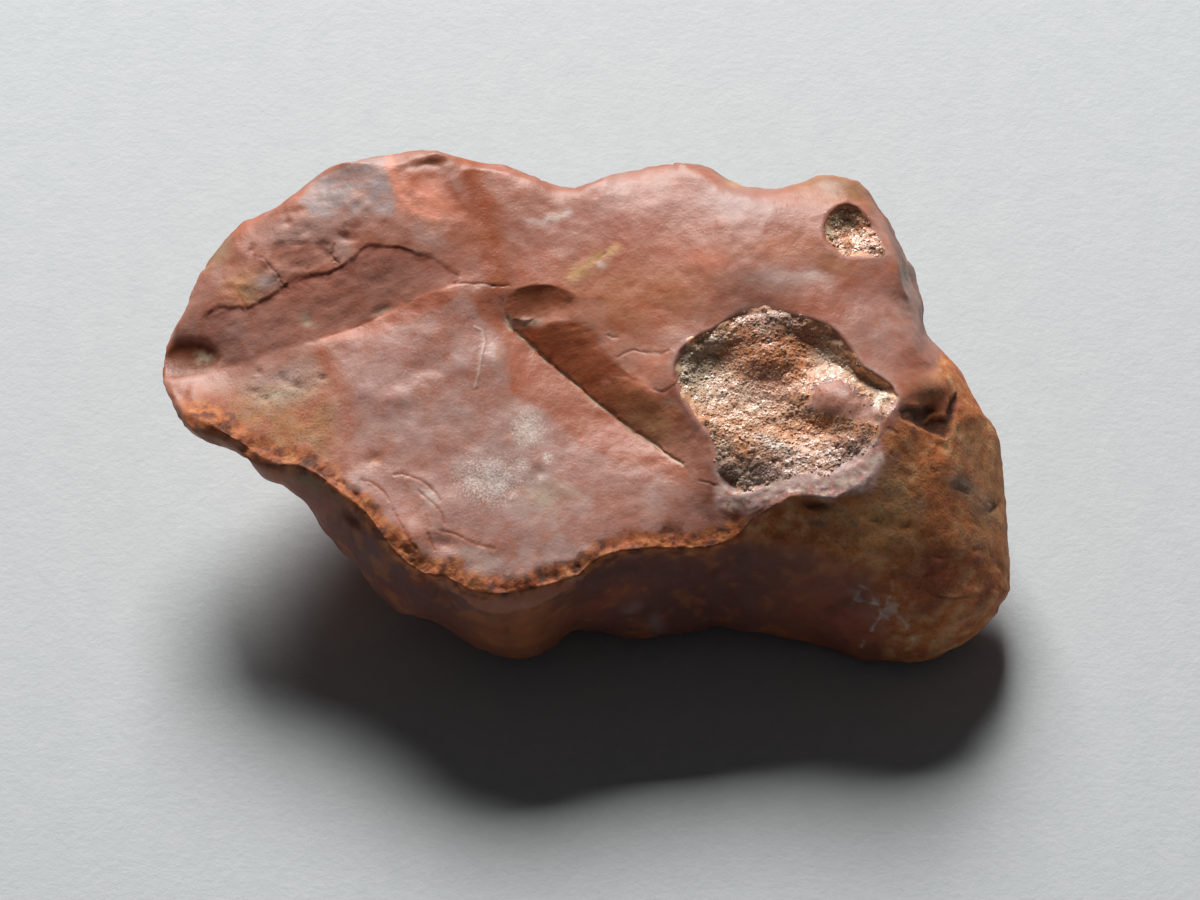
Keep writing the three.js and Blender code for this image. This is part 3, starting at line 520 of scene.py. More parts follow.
class Surface:
    """The stone's fine surface: its points, their place in the face frame, and the marks on it."""

    def __init__(self, points, triangles):
        self.points = points
        self.triangles = triangles
        self.measure()

    def measure(self):
        self.normals = point_normals(self.points, self.triangles)
        self.u, self.v, self.w = face_place(self.points)
        self.facing = self.normals @ FACE_OUT
        self.front = ramp(-0.05, 0.2, self.facing)

    def roughen_place(self, size, amount):
        """The face coordinates, shaken so that the borders of marks look natural."""
        self.shaken_u = self.u + amount * self.noise(size, 4, 1)
        self.shaken_v = self.v + amount * self.noise(size, 4, 2)

    def region(self, outline, soft=0.3):
        return self.front * ramp(-soft, soft, inside_distance(self.shaken_u, self.shaken_v, outline))

    def line(self, line, width):
        return self.front * np.exp(-(line_distance(self.shaken_u, self.shaken_v, line) / width) ** 2)

    def thin_line(self, line, width):
        return self.front * np.exp(-(line_distance(self.u, self.v, line) / width) ** 2)

    def spot(self, *place):
        return self.front * soft_spot(self.shaken_u, self.shaken_v, *place)

    def noise(self, size, octaves=4, seed=0):
        return fractal(self.points, size, octaves, seed)

    def raise_by(self, heights):
        self.points = self.points + self.normals * heights[:, None]


def blend(base, colour, mask):
    return base + (np.array(colour) - base) * np.clip(mask, 0, 1)[:, None]


# ---- the stone's form

def near_lines(points, lines, reach):
    """Which points lie close to any of the lines, on the upper side."""
    u, v, w = face_place(points)
    near = np.zeros(len(points), bool)
    for line in lines:
        near |= line_distance(u, v, line) < reach
    return near & (w > LOWEST_LINE)


def edge_middles(points, triangles):
    return points[edges_of(triangles)[0]].mean(axis=1)


def stone_surface():
    """The CAD stone made smooth, with its sharp lines kept and a finer mesh along the marks."""
    points, triangles = cad_surface("jasper_stone")
    sharp = sharp_edges(points, triangles, SHARP_BEND)
    outlined = near_lines(edge_middles(points, triangles), SHARP_LINES, SHARP_REACH)
    sharp |= outlined & sharp_edges(points, triangles, OUTLINED_BEND)
    for _ in range(2):
        points, triangles, sharp = subdivide(points, triangles, sharp)
    fine = near_lines(edge_middles(points, triangles), FINE_LINES, FINE_REACH)
    points, triangles = split_edges(points, triangles, fine)
    thin = near_lines(edge_middles(points, triangles), THIN_LINES, THIN_REACH)
    points, triangles = split_edges(points, triangles, thin)
    skin = Surface(points, triangles)
    skin.roughen_place(2.2, 0.3)
    return skin


def grain_place(skin):
    """Coordinates squeezed along the scars' streaks, for stretched noise."""
    turn = math.radians(STREAK_TURN)
    along = skin.u * math.cos(turn) + skin.v * math.sin(turn)
    across = skin.v * math.cos(turn) - skin.u * math.sin(turn)
    return np.stack([along * STREAK_SQUEEZE, across, skin.w], axis=1)


def weathered_mask(skin):
    """Where the weathered skin is: the back and underside, the orange face, the brown end, the ridge."""
    uneven = 0.25 * skin.noise(3, 3, 4)
    mask = 1 - ramp(-0.1, 0.35, skin.facing + uneven)
    mask = np.maximum(mask, skin.region(ORANGE_FACE, 1))
    mask = np.maximum(mask, skin.region(BROWN_END, 0.9))
    mask = np.maximum(mask, skin.line(RIDGE_BAND, RIDGE_WIDTH))
    return mask * (1 - skin.region(APRON, 0.4))


def torn_mask(skin):
    """The dull scars, with a torn, streaky grain."""
    mask = skin.region(DARK_SCAR, 0.15)
    for outline in (UPPER_SCAR, OVAL_SCAR, WALL):
        mask = np.maximum(mask, skin.region(outline, 0.15))
    return mask


def sculpt_stone(skin):
    """The fine relief: worn skin, crumbled ridge, torn scars, ripples, cracks, pits and chips."""
    weathered = weathered_mask(skin)
    heights = 0.1 * skin.noise(6, 3, 3) + 0.14 * np.abs(skin.noise(4.5, 4, 17))
    heights += 0.03 * skin.noise(1.4, 4, 5)
    heights += 0.07 * skin.spot(-32, 20, 11, 9) * skin.noise(1.6, 5, 19)
    heights += weathered * 0.1 * skin.noise(2, 5, 7)
    heights += 0.3 * (1 - skin.front) * skin.noise(5, 6, 16)
    heights -= weathered * 0.14 * ramp(0.4, 0.8, skin.noise(1.5, 3, 9))
    heights += torn_mask(skin) * 0.03 * fractal(grain_place(skin), 0.8, 4, 11)
    crumbs = skin.line(RIDGE_BAND, RIDGE_WIDTH) * ramp(15, 13, skin.u)
    heights += crumbs * (0.32 * skin.noise(2.3, 6, 13) - 0.08)
    heights += 0.1 * skin.region(APRON, 0.5) * skin.noise(0.6, 4, 67)
    heights += 0.12 * skin.spot(-35.6, 16.2, 1.9, 1.6) * skin.noise(0.7, 4, 68)
    heights -= 0.12 * skin.region(UPPER_SCAR, 0.3) + 0.45 * skin.region(TIP_CHIP, 0.6)
    heights -= 0.3 * skin.region(NOTCH, 0.25)
    heights -= 0.14 * skin.region(DARK_SCAR, 0.12) * skin.line(SCAR_EDGE, 1.6)
    heights += 0.3 * skin.spot(-31, 21, 9, 5, 20) * np.abs(skin.noise(3, 4, 69))
    for height, *place in DENTS:
        heights += height * skin.spot(*place)
    for line in RIPPLES:
        heights += 0.06 * skin.thin_line(line, 0.8) - 0.06 * skin.thin_line(line, 0.16)
    for line in CRACKS:
        heights -= 0.05 * skin.line(line, 0.15)
    heights += 0.06 * skin.thin_line(FLAKE_LINE, 0.16)
    heights -= 0.15 * skin.line(FOLD, 0.18)
    skin.raise_by(heights)
    skin.points = np.clip(skin.points, *(np.array(corner) / MM for corner in cad_box))
    skin.measure()


# ---- the stone's colours

class Coat:
    """The colour and the masks of every point of a skin."""

    def __init__(self, skin, colour):
        self.skin = skin
        self.colours = np.tile(np.array(colour), (len(skin.points), 1))
        self.masks = {name: np.zeros(len(skin.points)) for name in MASKS}

    def tint(self, colour, mask):
        self.colours = blend(self.colours, colour, mask)

    def spot(self, colour, strength, *place):
        self.tint(colour, strength * self.skin.spot(*place))

    def spots(self, rows):
        """Rows of [colour, strength, across, up, half width, half height, turn in degrees]."""
        for row in rows:
            self.spot(*row)

    def fill(self, colour, strength, outline, soft):
        self.tint(colour, strength * self.skin.region(outline, soft))

    def draw(self, colour, strength, line, width):
        self.tint(colour, strength * self.skin.line(line, width))

    def lay(self, name, mask):
        self.masks[name] = np.maximum(self.masks[name], mask)

    def wipe(self, name, mask):
        self.masks[name] = self.masks[name] * (1 - mask)

    def apply(self, piece):
        add_colour(piece, "paint", self.colours)
        for name, mask in self.masks.items():
            add_layer(piece, name, mask)


def paint_ground(coat, skin):
    """The red jasper, its worn back and underside, painted shade on the front wall and a painted glint on
    it.
    """
    broad = skin.noise(9, 3, 21)
    spots = skin.noise(2.4, 4, 23)
    coat.tint(ORANGE_RED, ramp(-0.3, 0.6, broad + 0.4 * spots))
    coat.tint(MAUVE, 0.3 * ramp(0.1, 0.6, skin.noise(5, 5, 25)))
    coat.tint(DEEP_RED, 0.5 * ramp(0.05, 0.4, skin.noise(3, 5, 29)))
    worn = 1 - ramp(-0.05, 0.3, skin.facing)
    coat.tint(WORN_RED, worn)
    coat.tint(WORN_BROWN, worn * ramp(-0.5, 0.5, broad + 0.5 * spots))
    coat.tint(WORN_TAN, 0.5 * worn * ramp(0, 0.8, spots))
    coat.tint(GREY, 0.45 * worn * ramp(0.2, 0.8, skin.noise(4, 5, 27)))
    rim = ramp(0.55, 0.15, skin.facing) * ramp(8, 15, skin.v)
    coat.tint(WORN_RIM, 0.6 * rim)
    # Painted shade: the lower front wall, which the lamp behind leaves in shade, is painted dark
    # purple-brown; the brick and brown patches on it are the rock's own colour.
    wall = ramp(0.02, 0.15, skin.facing) * ramp(-2, -8, skin.v) * (skin.w < WALL_HEIGHT)
    coat.tint(WALL_SHADE_BROWN, wall)
    coat.tint(BRICK, 0.6 * wall * ramp(0, 0.5, broad))
    coat.tint(BROWN, 0.4 * wall * ramp(0.1, 0.5, spots))
    coat.lay("torn", 0.7 * wall)
    coat.spots([
        [STAIN_AND_SHADE_RED, 0.6, 22, -15, 5, 4], [BROWN, 0.6, -8, -17.5, 5, 3, 10],
        [GREY_MAUVE, 0.6, 3.2, -15.7, 1, 0.6, 10], [GREY_MAUVE, 0.6, 5.6, -17.4, 0.7, 1, 10],
        # Painted highlight: the thin pale grey-mauve streak at across 2, up -10.8 is a glint on the wall.
        [GREY_MAUVE, 0.5, 2, -10.8, 1.2, 0.25, 5],
    ])


def paint_left_lobe(coat, skin):
    coat.spot(MAUVE, 0.7, -30, 21.8, 5, 2.2, 15)
    patch = skin.region(MAUVE_PATCH, 0.6)
    coat.tint(MAUVE, 0.8 * patch)
    coat.tint(GREY_MAUVE, patch * ramp(-0.5, 0.2, skin.noise(2, 4, 47)))
    coat.lay("frost", 0.3 * patch)
    coat.lay("weathered", 0.35 * skin.spot(-32, 20, 11, 9))
    coat.lay("dust", 0.2 * skin.region(MAUVE_PATCH, 0.8))
    coat.spots([
        [SCAR_RED, 0.6, -37, 18.6, 4, 4], [ORANGE_RED, 0.8, -36.2, 22.6, 3, 1, 35],
        [OLIVE, 0.7, -38.3, 20, 1, 1.8, -20], [LIGHT_BROWN, 0.95, -35.7, 16.3, 1.8, 1.5],
        [OLIVE, 0.6, -35, 15.8, 0.7, 0.7], [GREY_MAUVE, 0.9, -33.7, 16.8, 1.2, 0.7, 20],
        [MAUVE, 0.5, -18, 21.6, 3, 0.8, -25], [MAUVE, 0.5, -14.4, 27, 0.6, 1.6, 15],
    ])
    coat.fill(SCAR_RED, 1, DARK_SCAR, 0.12)
    # Painted shade: the scar is darkened in a brick band under its upper edge, most on the right, with a
    # thin darker line right under the edge and a dark brown patch at its upper right.
    coat.tint(BRICK, 0.55 * skin.region(DARK_SCAR, 0.1) * skin.line(SCAR_EDGE, 2.2) * (skin.u > -32))
    coat.tint(BRICK, 0.5 * skin.region(DARK_SCAR, 0.1) * skin.line(SCAR_EDGE, 0.5))
    coat.tint(DARK_BROWN, 0.2 * skin.region(DARK_SCAR, 0.1) * skin.spot(-20, 18, 6, 2.4, -5))
    coat.fill(SCAR_RED, 0.9, UPPER_SCAR, 0.25)
    coat.spots([
        [MAUVE, 0.7, -26, 20, 1, 0.8, 20], [MAUVE, 0.4, -37, 11, 3, 2, 10],
        [GREY_GREEN, 0.6, -29.4, 13.2, 0.5, 0.8, 30], [GREY_GREEN, 0.6, -28.9, 12.6, 0.6, 0.3],
        [GREY_GREEN, 0.6, -21.9, 13.9, 0.9, 0.35, 15],
    ])
    coat.fill(ORANGE_RED, 1, BEVEL, 0.15)
    coat.fill(BRICK, 0.25, BEVEL, 0.15)
    coat.wipe("frost", skin.region(BEVEL, 0.2))
    coat.draw(SALMON, 0.35, BEVEL[:5], 0.3)
    # The chip's deep red, with dark brown over it as painted shade in the chip's hollow.
    coat.fill(STAIN_AND_SHADE_RED, 1, TIP_CHIP, 0.3)
    coat.fill(DARK_BROWN, 0.5, TIP_CHIP, 0.3)
    glint = ramp(-0.3, 0.3, skin.noise(0.8, 4, 63))
    coat.tint(GREY_GREEN, 0.8 * glint * skin.spot(-40, 9.1, 1.6, 0.9, -10))
    # Painted highlight: the pale mauve band along the chip's lower rim at across -41.6, up 7.2; the dark
    # red spot beside it is the stone's own.
    coat.spots([[MAUVE, 0.8, -41.6, 7.2, 2.4, 0.5, 5], [STAIN_AND_SHADE_RED, 0.9, -41.5, 5.8, 1, 0.9]])


def paint_salmon_scar(coat, skin):
    coat.tint(DEEP_ORANGE, np.clip(1.3 * skin.line(GROOVE, 1.3), 0, 1))
    coat.fill(ORANGE_RED, 1, SALMON_SCAR, 0.2)
    coat.tint(SALMON, skin.region(SALMON_SCAR, 0.4) * ramp(0, 0.5, skin.noise(1.8, 5, 65)))
    coat.spot(SALMON, 1, -16.9, 25.4, 2.8, 1.3, -38)
    coat.draw(DEEP_ORANGE, 0.7, SALMON_SHADE, 0.45)
    coat.draw(SALMON, 0.9, SALMON_RIM, 0.45)
    coat.spot(STAIN_AND_SHADE_RED, 0.95, -17.7, 28.8, 2, 0.55, 8)


def paint_pink_face(coat, skin):
    face = skin.region(PINK_FACE, 0.3)
    coat.tint(PINK, face)
    coat.tint(MAUVE, 0.8 * face * ramp(0, 0.5, skin.noise(4.5, 5, 31)))
    coat.tint(RED, 0.8 * face * ramp(0, 0.4, skin.noise(3, 5, 33)))
    coat.lay("frost", 0.8 * skin.region(PINK_FACE, 0.9))
    coat.lay("dust", face * (0.14 + 0.14 * skin.noise(4, 3, 35)))
    coat.spots([
        [MAUVE, 0.7, -9.5, -1.5, 4, 5.5, 20], [MAUVE, 0.5, -17, 3, 3, 2.4, 30],
        [RED, 0.8, 5, -6, 6.5, 3.5, -10], [WHITE, 0.35, -7.4, 2.3, 1.6, 2.2, 15],
    ])
    for place in ((-7.3, 2.2, 1.8, 2.4, 15), (-8, -1.6, 1.1, 0.9), (-5.2, -0.7, 0.7, 0.9), (-11, -3, 4, 3)):
        coat.lay("dust", skin.spot(*place))
    coat.spots([
        [GREY_GREEN, 0.65, -5.6, -4.6, 1.7, 1.4], [GREY_GREEN, 0.4, -3, -4, 1.4, 0.5, -20],
        # Painted highlight: the white patch at across -12.5, up -10.4.
        [WHITE, 0.55, -12.5, -10.4, 1.8, 0.7, -15], [WHITE, 0.4, -10.4, 9.3, 0.7, 1.6, 15],
        [SALMON, 0.35, -18.6, -8, 1.4, 1.8, 20],
    ])
    coat.wipe("frost", 0.8 * skin.spot(6, -6, 6, 3.5, -10))
    coat.spots([
        # Painted sheen: the white spot at across -16.8, up -4.6 and the mauve spot at across -18.6, up
        # -7.6, beside the ripples.
        [MAUVE, 0.6, 5.4, -5, 1.1, 1.7], [WHITE, 0.5, -16.8, -4.6, 0.7, 0.9, 40],
        [MAUVE, 0.5, -18.6, -7.6, 1, 1.4, 20], [PINK, 0.6, -24, 4, 3, 4], [MAUVE, 0.4, -24, 5, 3, 3],
        [BROWN, 0.5, -22.4, -1.1, 0.9, 0.5, 25],
    ])
    # Painted highlight along the raised flake line.
    coat.tint(WHITE, 0.35 * skin.thin_line(FLAKE_LINE, 0.16))
    strip = skin.region(SMOOTH_STRIP, 0.2)
    coat.tint(ORANGE_RED, 0.9 * strip)
    coat.wipe("frost", strip)
    coat.wipe("dust", strip)


def paint_orange_face(coat, skin):
    face = skin.region(ORANGE_FACE, 2)
    coat.tint(ORANGE, face)
    coat.tint(WORN_TAN, 0.8 * face * ramp(-0.1, 0.5, skin.noise(1.5, 5, 41)))
    coat.tint(ORANGE_RED, 0.7 * face * ramp(0.1, 0.5, skin.noise(2.5, 5, 49)))
    coat.wipe("frost", face)
    coat.spots([
        [MAUVE, 0.8, -31.5, 7.4, 5, 2, 12], [GREY_GREEN, 0.7, -32, 5.6, 3, 1, 5],
        [OLIVE, 0.9, -28.8, -2.6, 3.4, 1, -25], [BRICK, 0.6, -38, 4.6, 2, 1.2, -20],
    ])
    coat.draw(ORANGE_RED, 0.9, SEAM, 0.9)
    coat.wipe("weathered", skin.line(SEAM, 0.9))


def paint_ridge(coat, skin):
    ragged = 0.35 * skin.noise(2.5, 4, 46)
    band = ramp(0.25, 0.5, skin.line(RIDGE_BAND, RIDGE_WIDTH) + ragged) * skin.line(RIDGE_BAND, 3)
    band *= ramp(15, 13, skin.u)
    crumbs = skin.noise(1.1, 5, 43)
    coat.tint(STAIN_AND_SHADE_RED, band)
    coat.tint(BROWN, 0.9 * band * ramp(-0.1, 0.3, crumbs))
    # Light brown flecks are painted highlights on the crumbs, and dark brown flecks are painted shade in
    # their pits, laid by noise.
    coat.tint(LIGHT_BROWN, 0.45 * band * ramp(0.3, 0.6, crumbs))
    coat.tint(DARK_BROWN, 0.8 * band * ramp(0.05, 0.4, -crumbs))
    coat.wipe("frost", band)
    coat.wipe("dust", band)


def paint_walls_behind_fold(coat, skin):
    coat.fill(STAIN_AND_SHADE_RED, 1, OVAL_SCAR, 0.12)
    coat.fill(STAIN_AND_SHADE_RED, 1, WALL, 0.15)
    coat.tint(SCAR_RED, skin.region(WALL, 0.3) * ramp(4.5, 1.5, skin.v))
    coat.fill(LIGHT_RED, 1, BLOCK, 0.25)
    coat.fill(DEEP_ORANGE, 0.7, STAINED_WALL, 0.12)
    coat.fill(LIGHT_RED, 0.8, SADDLE, 0.3)
    coat.fill(DARK_BROWN, 0.08, OVAL_SCAR, 0.12)
    coat.spots([
        [GREY_GREEN, 0.5, 6.9, 4.6, 0.7, 0.5], [LIGHT_BROWN, 0.85, 5, 3, 3.4, 1.4, -38],
        [CREAM, 0.7, -7.4, 12.8, 1.6, 0.35, 8],
    ])
    coat.draw(SALMON, 0.5, FLAKE_ARC, 0.22)
    caught = ramp(-0.5, 0.1, skin.noise(0.9, 3, 57))
    coat.tint(GREY_GREEN, 0.8 * caught * skin.line(FOLD, 0.2))
    coat.draw(CREAM, 0.8, FOLD[:2], 0.3)


def paint_long_slope(coat, skin):
    coat.spots([
        [PINK, 0.8, -2, 22.5, 8, 2.4, 10], [ORANGE_RED, 0.9, 9, 18, 9, 3.2, -5],
        [BRIGHT_ORANGE, 0.9, 1, 14.5, 5, 3, -10], [SALMON, 0.7, 10.8, 19, 2.4, 1.1, -10],
        [BROWN, 0.4, 18.5, 20.6, 5, 1.3, 5], [SCAR_RED, 0.8, 14, 24.4, 6, 2.4, -5],
        # Painted sheen: the pale grey-mauve spot at across 14, up 24.6 on the glossy band.
        [GREY_MAUVE, 0.5, 14, 24.6, 4, 1.6, -5], [ORANGE_RED, 0.7, 2.4, 21, 4, 2],
        [BRIGHT_ORANGE, 0.8, 6, 16.2, 5, 2.6], [MAUVE, 0.85, 17.4, 17.2, 4.4, 1.5, -3],
        [WHITE, 0.35, 21.2, 17.4, 1.4, 0.7], [MAUVE, 0.5, 2, 26, 2, 1.6],
        [ORANGE, 0.7, 23.8, 18.4, 1.8, 0.8, -20], [OCHRE, 0.6, 13.8, 26.8, 1.6, 0.4],
        [BROWN, 0.7, 24.5, 26.2, 4.4, 1.8, -10], [WORN_BROWN, 0.9, 24, 26.6, 4.4, 1.8, -10],
        # The grey stripe at across 30.6, up 18 on the steep right flank: the flank's greyish brown, partly
        # painted shade.
        [OLIVE, 0.4, 23.6, 26.6, 3, 1, -10], [GREY, 0.6, 30.6, 18, 1, 5, 5],
        [MAUVE, 0.6, 29, 12.4, 3.4, 3.6, -30], [PINK, 0.6, 27, 15.4, 3, 2],
    ])
    coat.draw(WHITE, 0.55, SCRATCH, 0.35)
    coat.spot(OCHRE, 0.9, -2, 18, 1.1, 0.7, 30)
    coat.tint(OCHRE, 0.9 * skin.line(OCHRE_STREAK, 0.5) * ramp(-0.7, 0.1, skin.noise(1, 3, 45)))
    coat.spot(WHITE, 0.9, 0.1, 18.5, 0.35, 0.25)
    coat.lay("frost", 0.5 * skin.spot(29, 12.4, 4, 4))


def paint_brown_end(coat, skin):
    face = skin.region(BROWN_END, 0.6 + 1.6 * ramp(-6, -12, skin.v))
    broad = skin.noise(4, 4, 51)
    fine = skin.noise(1.4, 4, 53)
    coat.tint(BROWN, face)
    coat.tint(LIGHT_BROWN, face * ramp(0, 0.6, fine + 0.5 * broad))
    coat.tint(BRICK, 0.8 * face * ramp(0.1, 0.5, -broad))
    coat.tint(TAN, 0.9 * face * skin.spot(27.6, -7, 4.4, 3.4, 10))
    coat.tint(OLIVE, 0.5 * face * skin.spot(28.6, -3, 2.4, 4, 10))
    coat.lay("torn", 0.5 * face)
    coat.spot(BROWN, 0.8, 33.5, -4, 1.8, 2.6)
    coat.tint(GREY, 0.6 * face * ramp(0.45, 0.8, skin.noise(2.6, 3, 55)))
    coat.tint(DARK_BROWN, 0.35 * face * ramp(0.3, 0.6, -fine))
    coat.spots([
        [TAN, 0.6, 39.2, -4, 1.8, 6], [BROWN, 0.7, 33, -7, 3, 2, 20],
        [GREY, 0.8, 36.2, -3.4, 1.8, 1.2, -20], [GREY, 0.6, 38.4, -5.8, 1.6, 1, -30],
        # Painted shade: the dark brown spot at across 21.8, up -5.4 under the ridge.
        [LIGHT_BROWN, 0.8, 37, 0.2, 1.5, 2], [DARK_BROWN, 0.8, 21.8, -5.4, 1.7, 0.6],
        # Painted shadow: the dark brown stripe at across 33, up -15.4, above the raised ridge.
        [DARK_BROWN, 0.5, 33, -15.4, 3, 0.9, 30], [ORANGE, 0.6, 36.4, -8.6, 3, 1.6, 10],
        [GREY, 0.8, 21.7, -7.2, 0.9, 0.6], [WORN_BROWN, 0.8, 32.4, 6.2, 2.4, 1.4],
        [BRICK, 0.8, 25.4, -17.2, 3, 2], [BRICK, 0.7, 33, -13, 4, 2, 20],
        # Painted highlight: the light brown streak along that ridge.
        [LIGHT_BROWN, 0.8, 36.4, -16.6, 2.6, 0.6, 28],
    ])
    # Painted shadow: the notch under the bump is filled dark brown.
    coat.fill(DARK_BROWN, 0.9, NOTCH, 0.25)
    for arm in STAR_ARMS:
        coat.tint(WHITE, 0.5 * skin.line(arm, 0.16) * ramp(-0.6, 0.2, fine))
    coat.tint(GREY_MAUVE, 0.7 * skin.spot(26.2, -14.8, 1.8, 0.7, -15) * ramp(-0.2, 0.3, fine))
    coat.tint(GREY_MAUVE, 0.6 * skin.spot(28.6, -16.2, 1.4, 0.9) * ramp(-0.2, 0.3, fine))


def paint_hollow_borders(coat, skin):
    apron = skin.region(APRON, 0.4)
    sugar = skin.noise(0.8, 5, 61)
    coat.tint(LILAC, apron)
    coat.tint(SALMON, 0.5 * apron * ramp(0, 0.4, -sugar))
    coat.tint(CREAM, 0.8 * apron * ramp(0.05, 0.35, sugar))
    coat.lay("dust", 0.45 * apron)
    coat.lay("frost", 0.7 * apron)
    for outline in (LARGE_HOLLOW, SMALL_HOLLOW):
        edge = skin.front * ramp(1, 0, -inside_distance(skin.shaken_u, skin.shaken_v, outline))
        coat.tint(MAUVE, 0.35 * edge)
    coat.fill(RED, 1, SWELLING, 0.3)


def paint_marks(coat, skin):
    """Dark cracks, with painted shade in the deeper pits and on the shadowed sides of the ripples."""
    uneven = 0.3 + 0.7 * ramp(-0.5, 0.3, skin.noise(1.6, 3, 15))
    for line in CRACKS:
        coat.tint(DARK_BROWN, 0.6 * uneven * skin.line(line, 0.13))
    # Painted shadow: the ripples' grooves are drawn in deep red.
    for line in RIPPLES:
        coat.tint(STAIN_AND_SHADE_RED, 0.75 * uneven * skin.thin_line(line, 0.16))
    # Painted shade: the deeper pits are darkened with dark brown.
    for height, across, up, half_width, half_height, *turn in DENTS:
        if height <= DARK_PIT:
            coat.spot(DARK_BROWN, 0.55, across, up, half_width * 0.8, half_height * 0.8, *turn)


def paint_stone(skin, piece):
    coat = Coat(skin, RED)
    coat.lay("weathered", weathered_mask(skin))
    coat.lay("torn", torn_mask(skin))
    for paint in (
        paint_ground, paint_long_slope, paint_pink_face, paint_left_lobe, paint_salmon_scar,
        paint_orange_face, paint_walls_behind_fold, paint_brown_end, paint_hollow_borders,
        paint_ridge, paint_marks,
    ):
        paint(coat, skin)
    coat.apply(piece)
    add_place(piece, "grain", grain_place(skin))


# ---- materials

class Nodes:
    """Short calls for building one material's nodes."""

    def __init__(self, name):
        self.material = bpy.data.materials.new(name)
        self.material.use_nodes = True
        self.tree = self.material.node_tree
        self.shader = self.tree.nodes["Principled BSDF"]
        self.place = self.add("ShaderNodeTexCoord").outputs["Object"]

    def link(self, value, socket):
        if isinstance(value, bpy.types.NodeSocket):
            self.tree.links.new(value, socket)
        elif isinstance(value, tuple):
            socket.default_value = (*value, 1)
        else:
            socket.default_value = value

    def add(self, kind, inputs=None, **settings):
        node = self.tree.nodes.new(kind)
        for key, value in settings.items():
            setattr(node, key, value)
        for key, value in (inputs or {}).items():
            self.link(value, node.inputs[key])
        return node

    def shade(self, values):
        """Fills the shader's own sockets and gives the finished material."""
        for key, value in values.items():
            self.link(value, self.shader.inputs[key])
        return self.material

    def attribute(self, name, output="Fac"):
        return self.add("ShaderNodeAttribute", attribute_name=name).outputs[output]

    def noise(self, size, detail=4, roughness=0.55, place=None):
        """Noise whose lumps are size across, in millimetres."""
        scale = 1 / size if place else 1 / (size * MM)
        inputs = {"Vector": place or self.place, "Scale": scale, "Detail": detail, "Roughness": roughness}
        return self.add("ShaderNodeTexNoise", inputs).outputs["Fac"]

    def math(self, operation, a, b=0.0, c=0.0):
        return self.add("ShaderNodeMath", {0: a, 1: b, 2: c}, operation=operation).outputs[0]

    def step(self, low, high, value):
        inputs = {"Value": value, "From Min": low, "From Max": high}
        return self.add("ShaderNodeMapRange", inputs, interpolation_type="SMOOTHSTEP").outputs["Result"]

    def mix(self, factor, a, b, blend_type="MIX"):
        inputs = {"Factor": factor, 6: a, 7: b}
        return self.add("ShaderNodeMix", inputs, data_type="RGBA", blend_type=blend_type).outputs[2]

    def stain(self, colour, by, mask, amount):
        return self.mix(self.math("MULTIPLY", mask, amount), colour, by, "MULTIPLY")

    def bump(self, height, strength, distance, normal=None):
        inputs = {"Strength": strength, "Distance": distance * MM, "Height": height}
        if normal:
            inputs["Normal"] = normal
        return self.add("ShaderNodeBump", inputs).outputs["Normal"]


def jasper_material():
    nodes = Nodes("jasper")
    frost, weathered, torn, dust = (nodes.attribute(name) for name in MASKS)
    mottle = nodes.noise(1.1, 6, 0.6)
    warm = nodes.noise(1.9, 8, 0.65)
    grain = nodes.noise(0.28, 5, 0.6)
    streaks = nodes.noise(0.5, 5, 0.6, nodes.attribute("grain", "Vector"))

    colour = nodes.attribute("paint", "Color")
    colour = nodes.stain(colour, (0.72, 0.6, 0.55), nodes.step(0.4, 0.75, mottle), 0.45)
    colour = nodes.stain(colour, (1, 0.8, 0.68), nodes.step(0.5, 0.62, warm), 0.7)
    colour = nodes.mix(nodes.step(0.48, 0.36, warm), colour, (1.05, 1.12, 1.14), "MULTIPLY")
    crumbs = nodes.math("MULTIPLY", nodes.step(0.5, 0.68, grain), weathered)
    colour = nodes.stain(colour, (0.5, 0.38, 0.3), crumbs, 0.6)
    lines = nodes.math("MULTIPLY", nodes.step(0.48, 0.7, streaks), torn)
    colour = nodes.stain(colour, (0.6, 0.5, 0.45), lines, 0.3)
    bloom = nodes.math("MULTIPLY", frost, nodes.step(0.46, 0.72, grain))
    colour = nodes.mix(nodes.math("MULTIPLY", bloom, 0.6), colour, MAUVE)
    specks = nodes.step(0.56, 0.8, nodes.math("MULTIPLY_ADD", dust, 0.2, nodes.noise(0.22, 4, 0.8)))
    colour = nodes.mix(nodes.math("MULTIPLY", specks, nodes.step(0, 0.7, dust)), colour, WHITE)

    roughness = nodes.math("MULTIPLY_ADD", weathered, 0.3, 0.43)
    roughness = nodes.math("MULTIPLY_ADD", torn, 0.2, roughness)
    relief = nodes.bump(nodes.noise(1.3, 9, 0.68), 0.55, 0.16)
    relief = nodes.bump(grain, nodes.math("MULTIPLY_ADD", weathered, 0.6, 0.25), 0.1, relief)
    relief = nodes.bump(streaks, nodes.math("MULTIPLY", torn, 0.3), 0.1, relief)
    return nodes.shade({
        "Base Color": colour, "Roughness": roughness, "Normal": relief,
        "Specular IOR Level": 0.4, "Diffuse Roughness": 0.4,
    })


def druse_bed_material():
    """The sugar under the crystals, with light that spreads inside it."""
    nodes = Nodes("druse_bed")
    sugar = nodes.noise(0.3, 4, 0.7)
    paint = nodes.attribute("paint", "Color")
    shaded = nodes.mix(1.0, paint, (0.85, 0.72, 0.62), "MULTIPLY")
    nodes.shader.inputs["Subsurface Radius"].default_value = (1, 0.6, 0.4)
    return nodes.shade({
        "Base Color": nodes.mix(nodes.step(0.35, 0.65, sugar), shaded, paint),
        "Roughness": 0.45, "Normal": nodes.bump(sugar, 0.5, 0.12),
        "Subsurface Weight": 0.8, "Subsurface Scale": 0.7 * MM,
    })


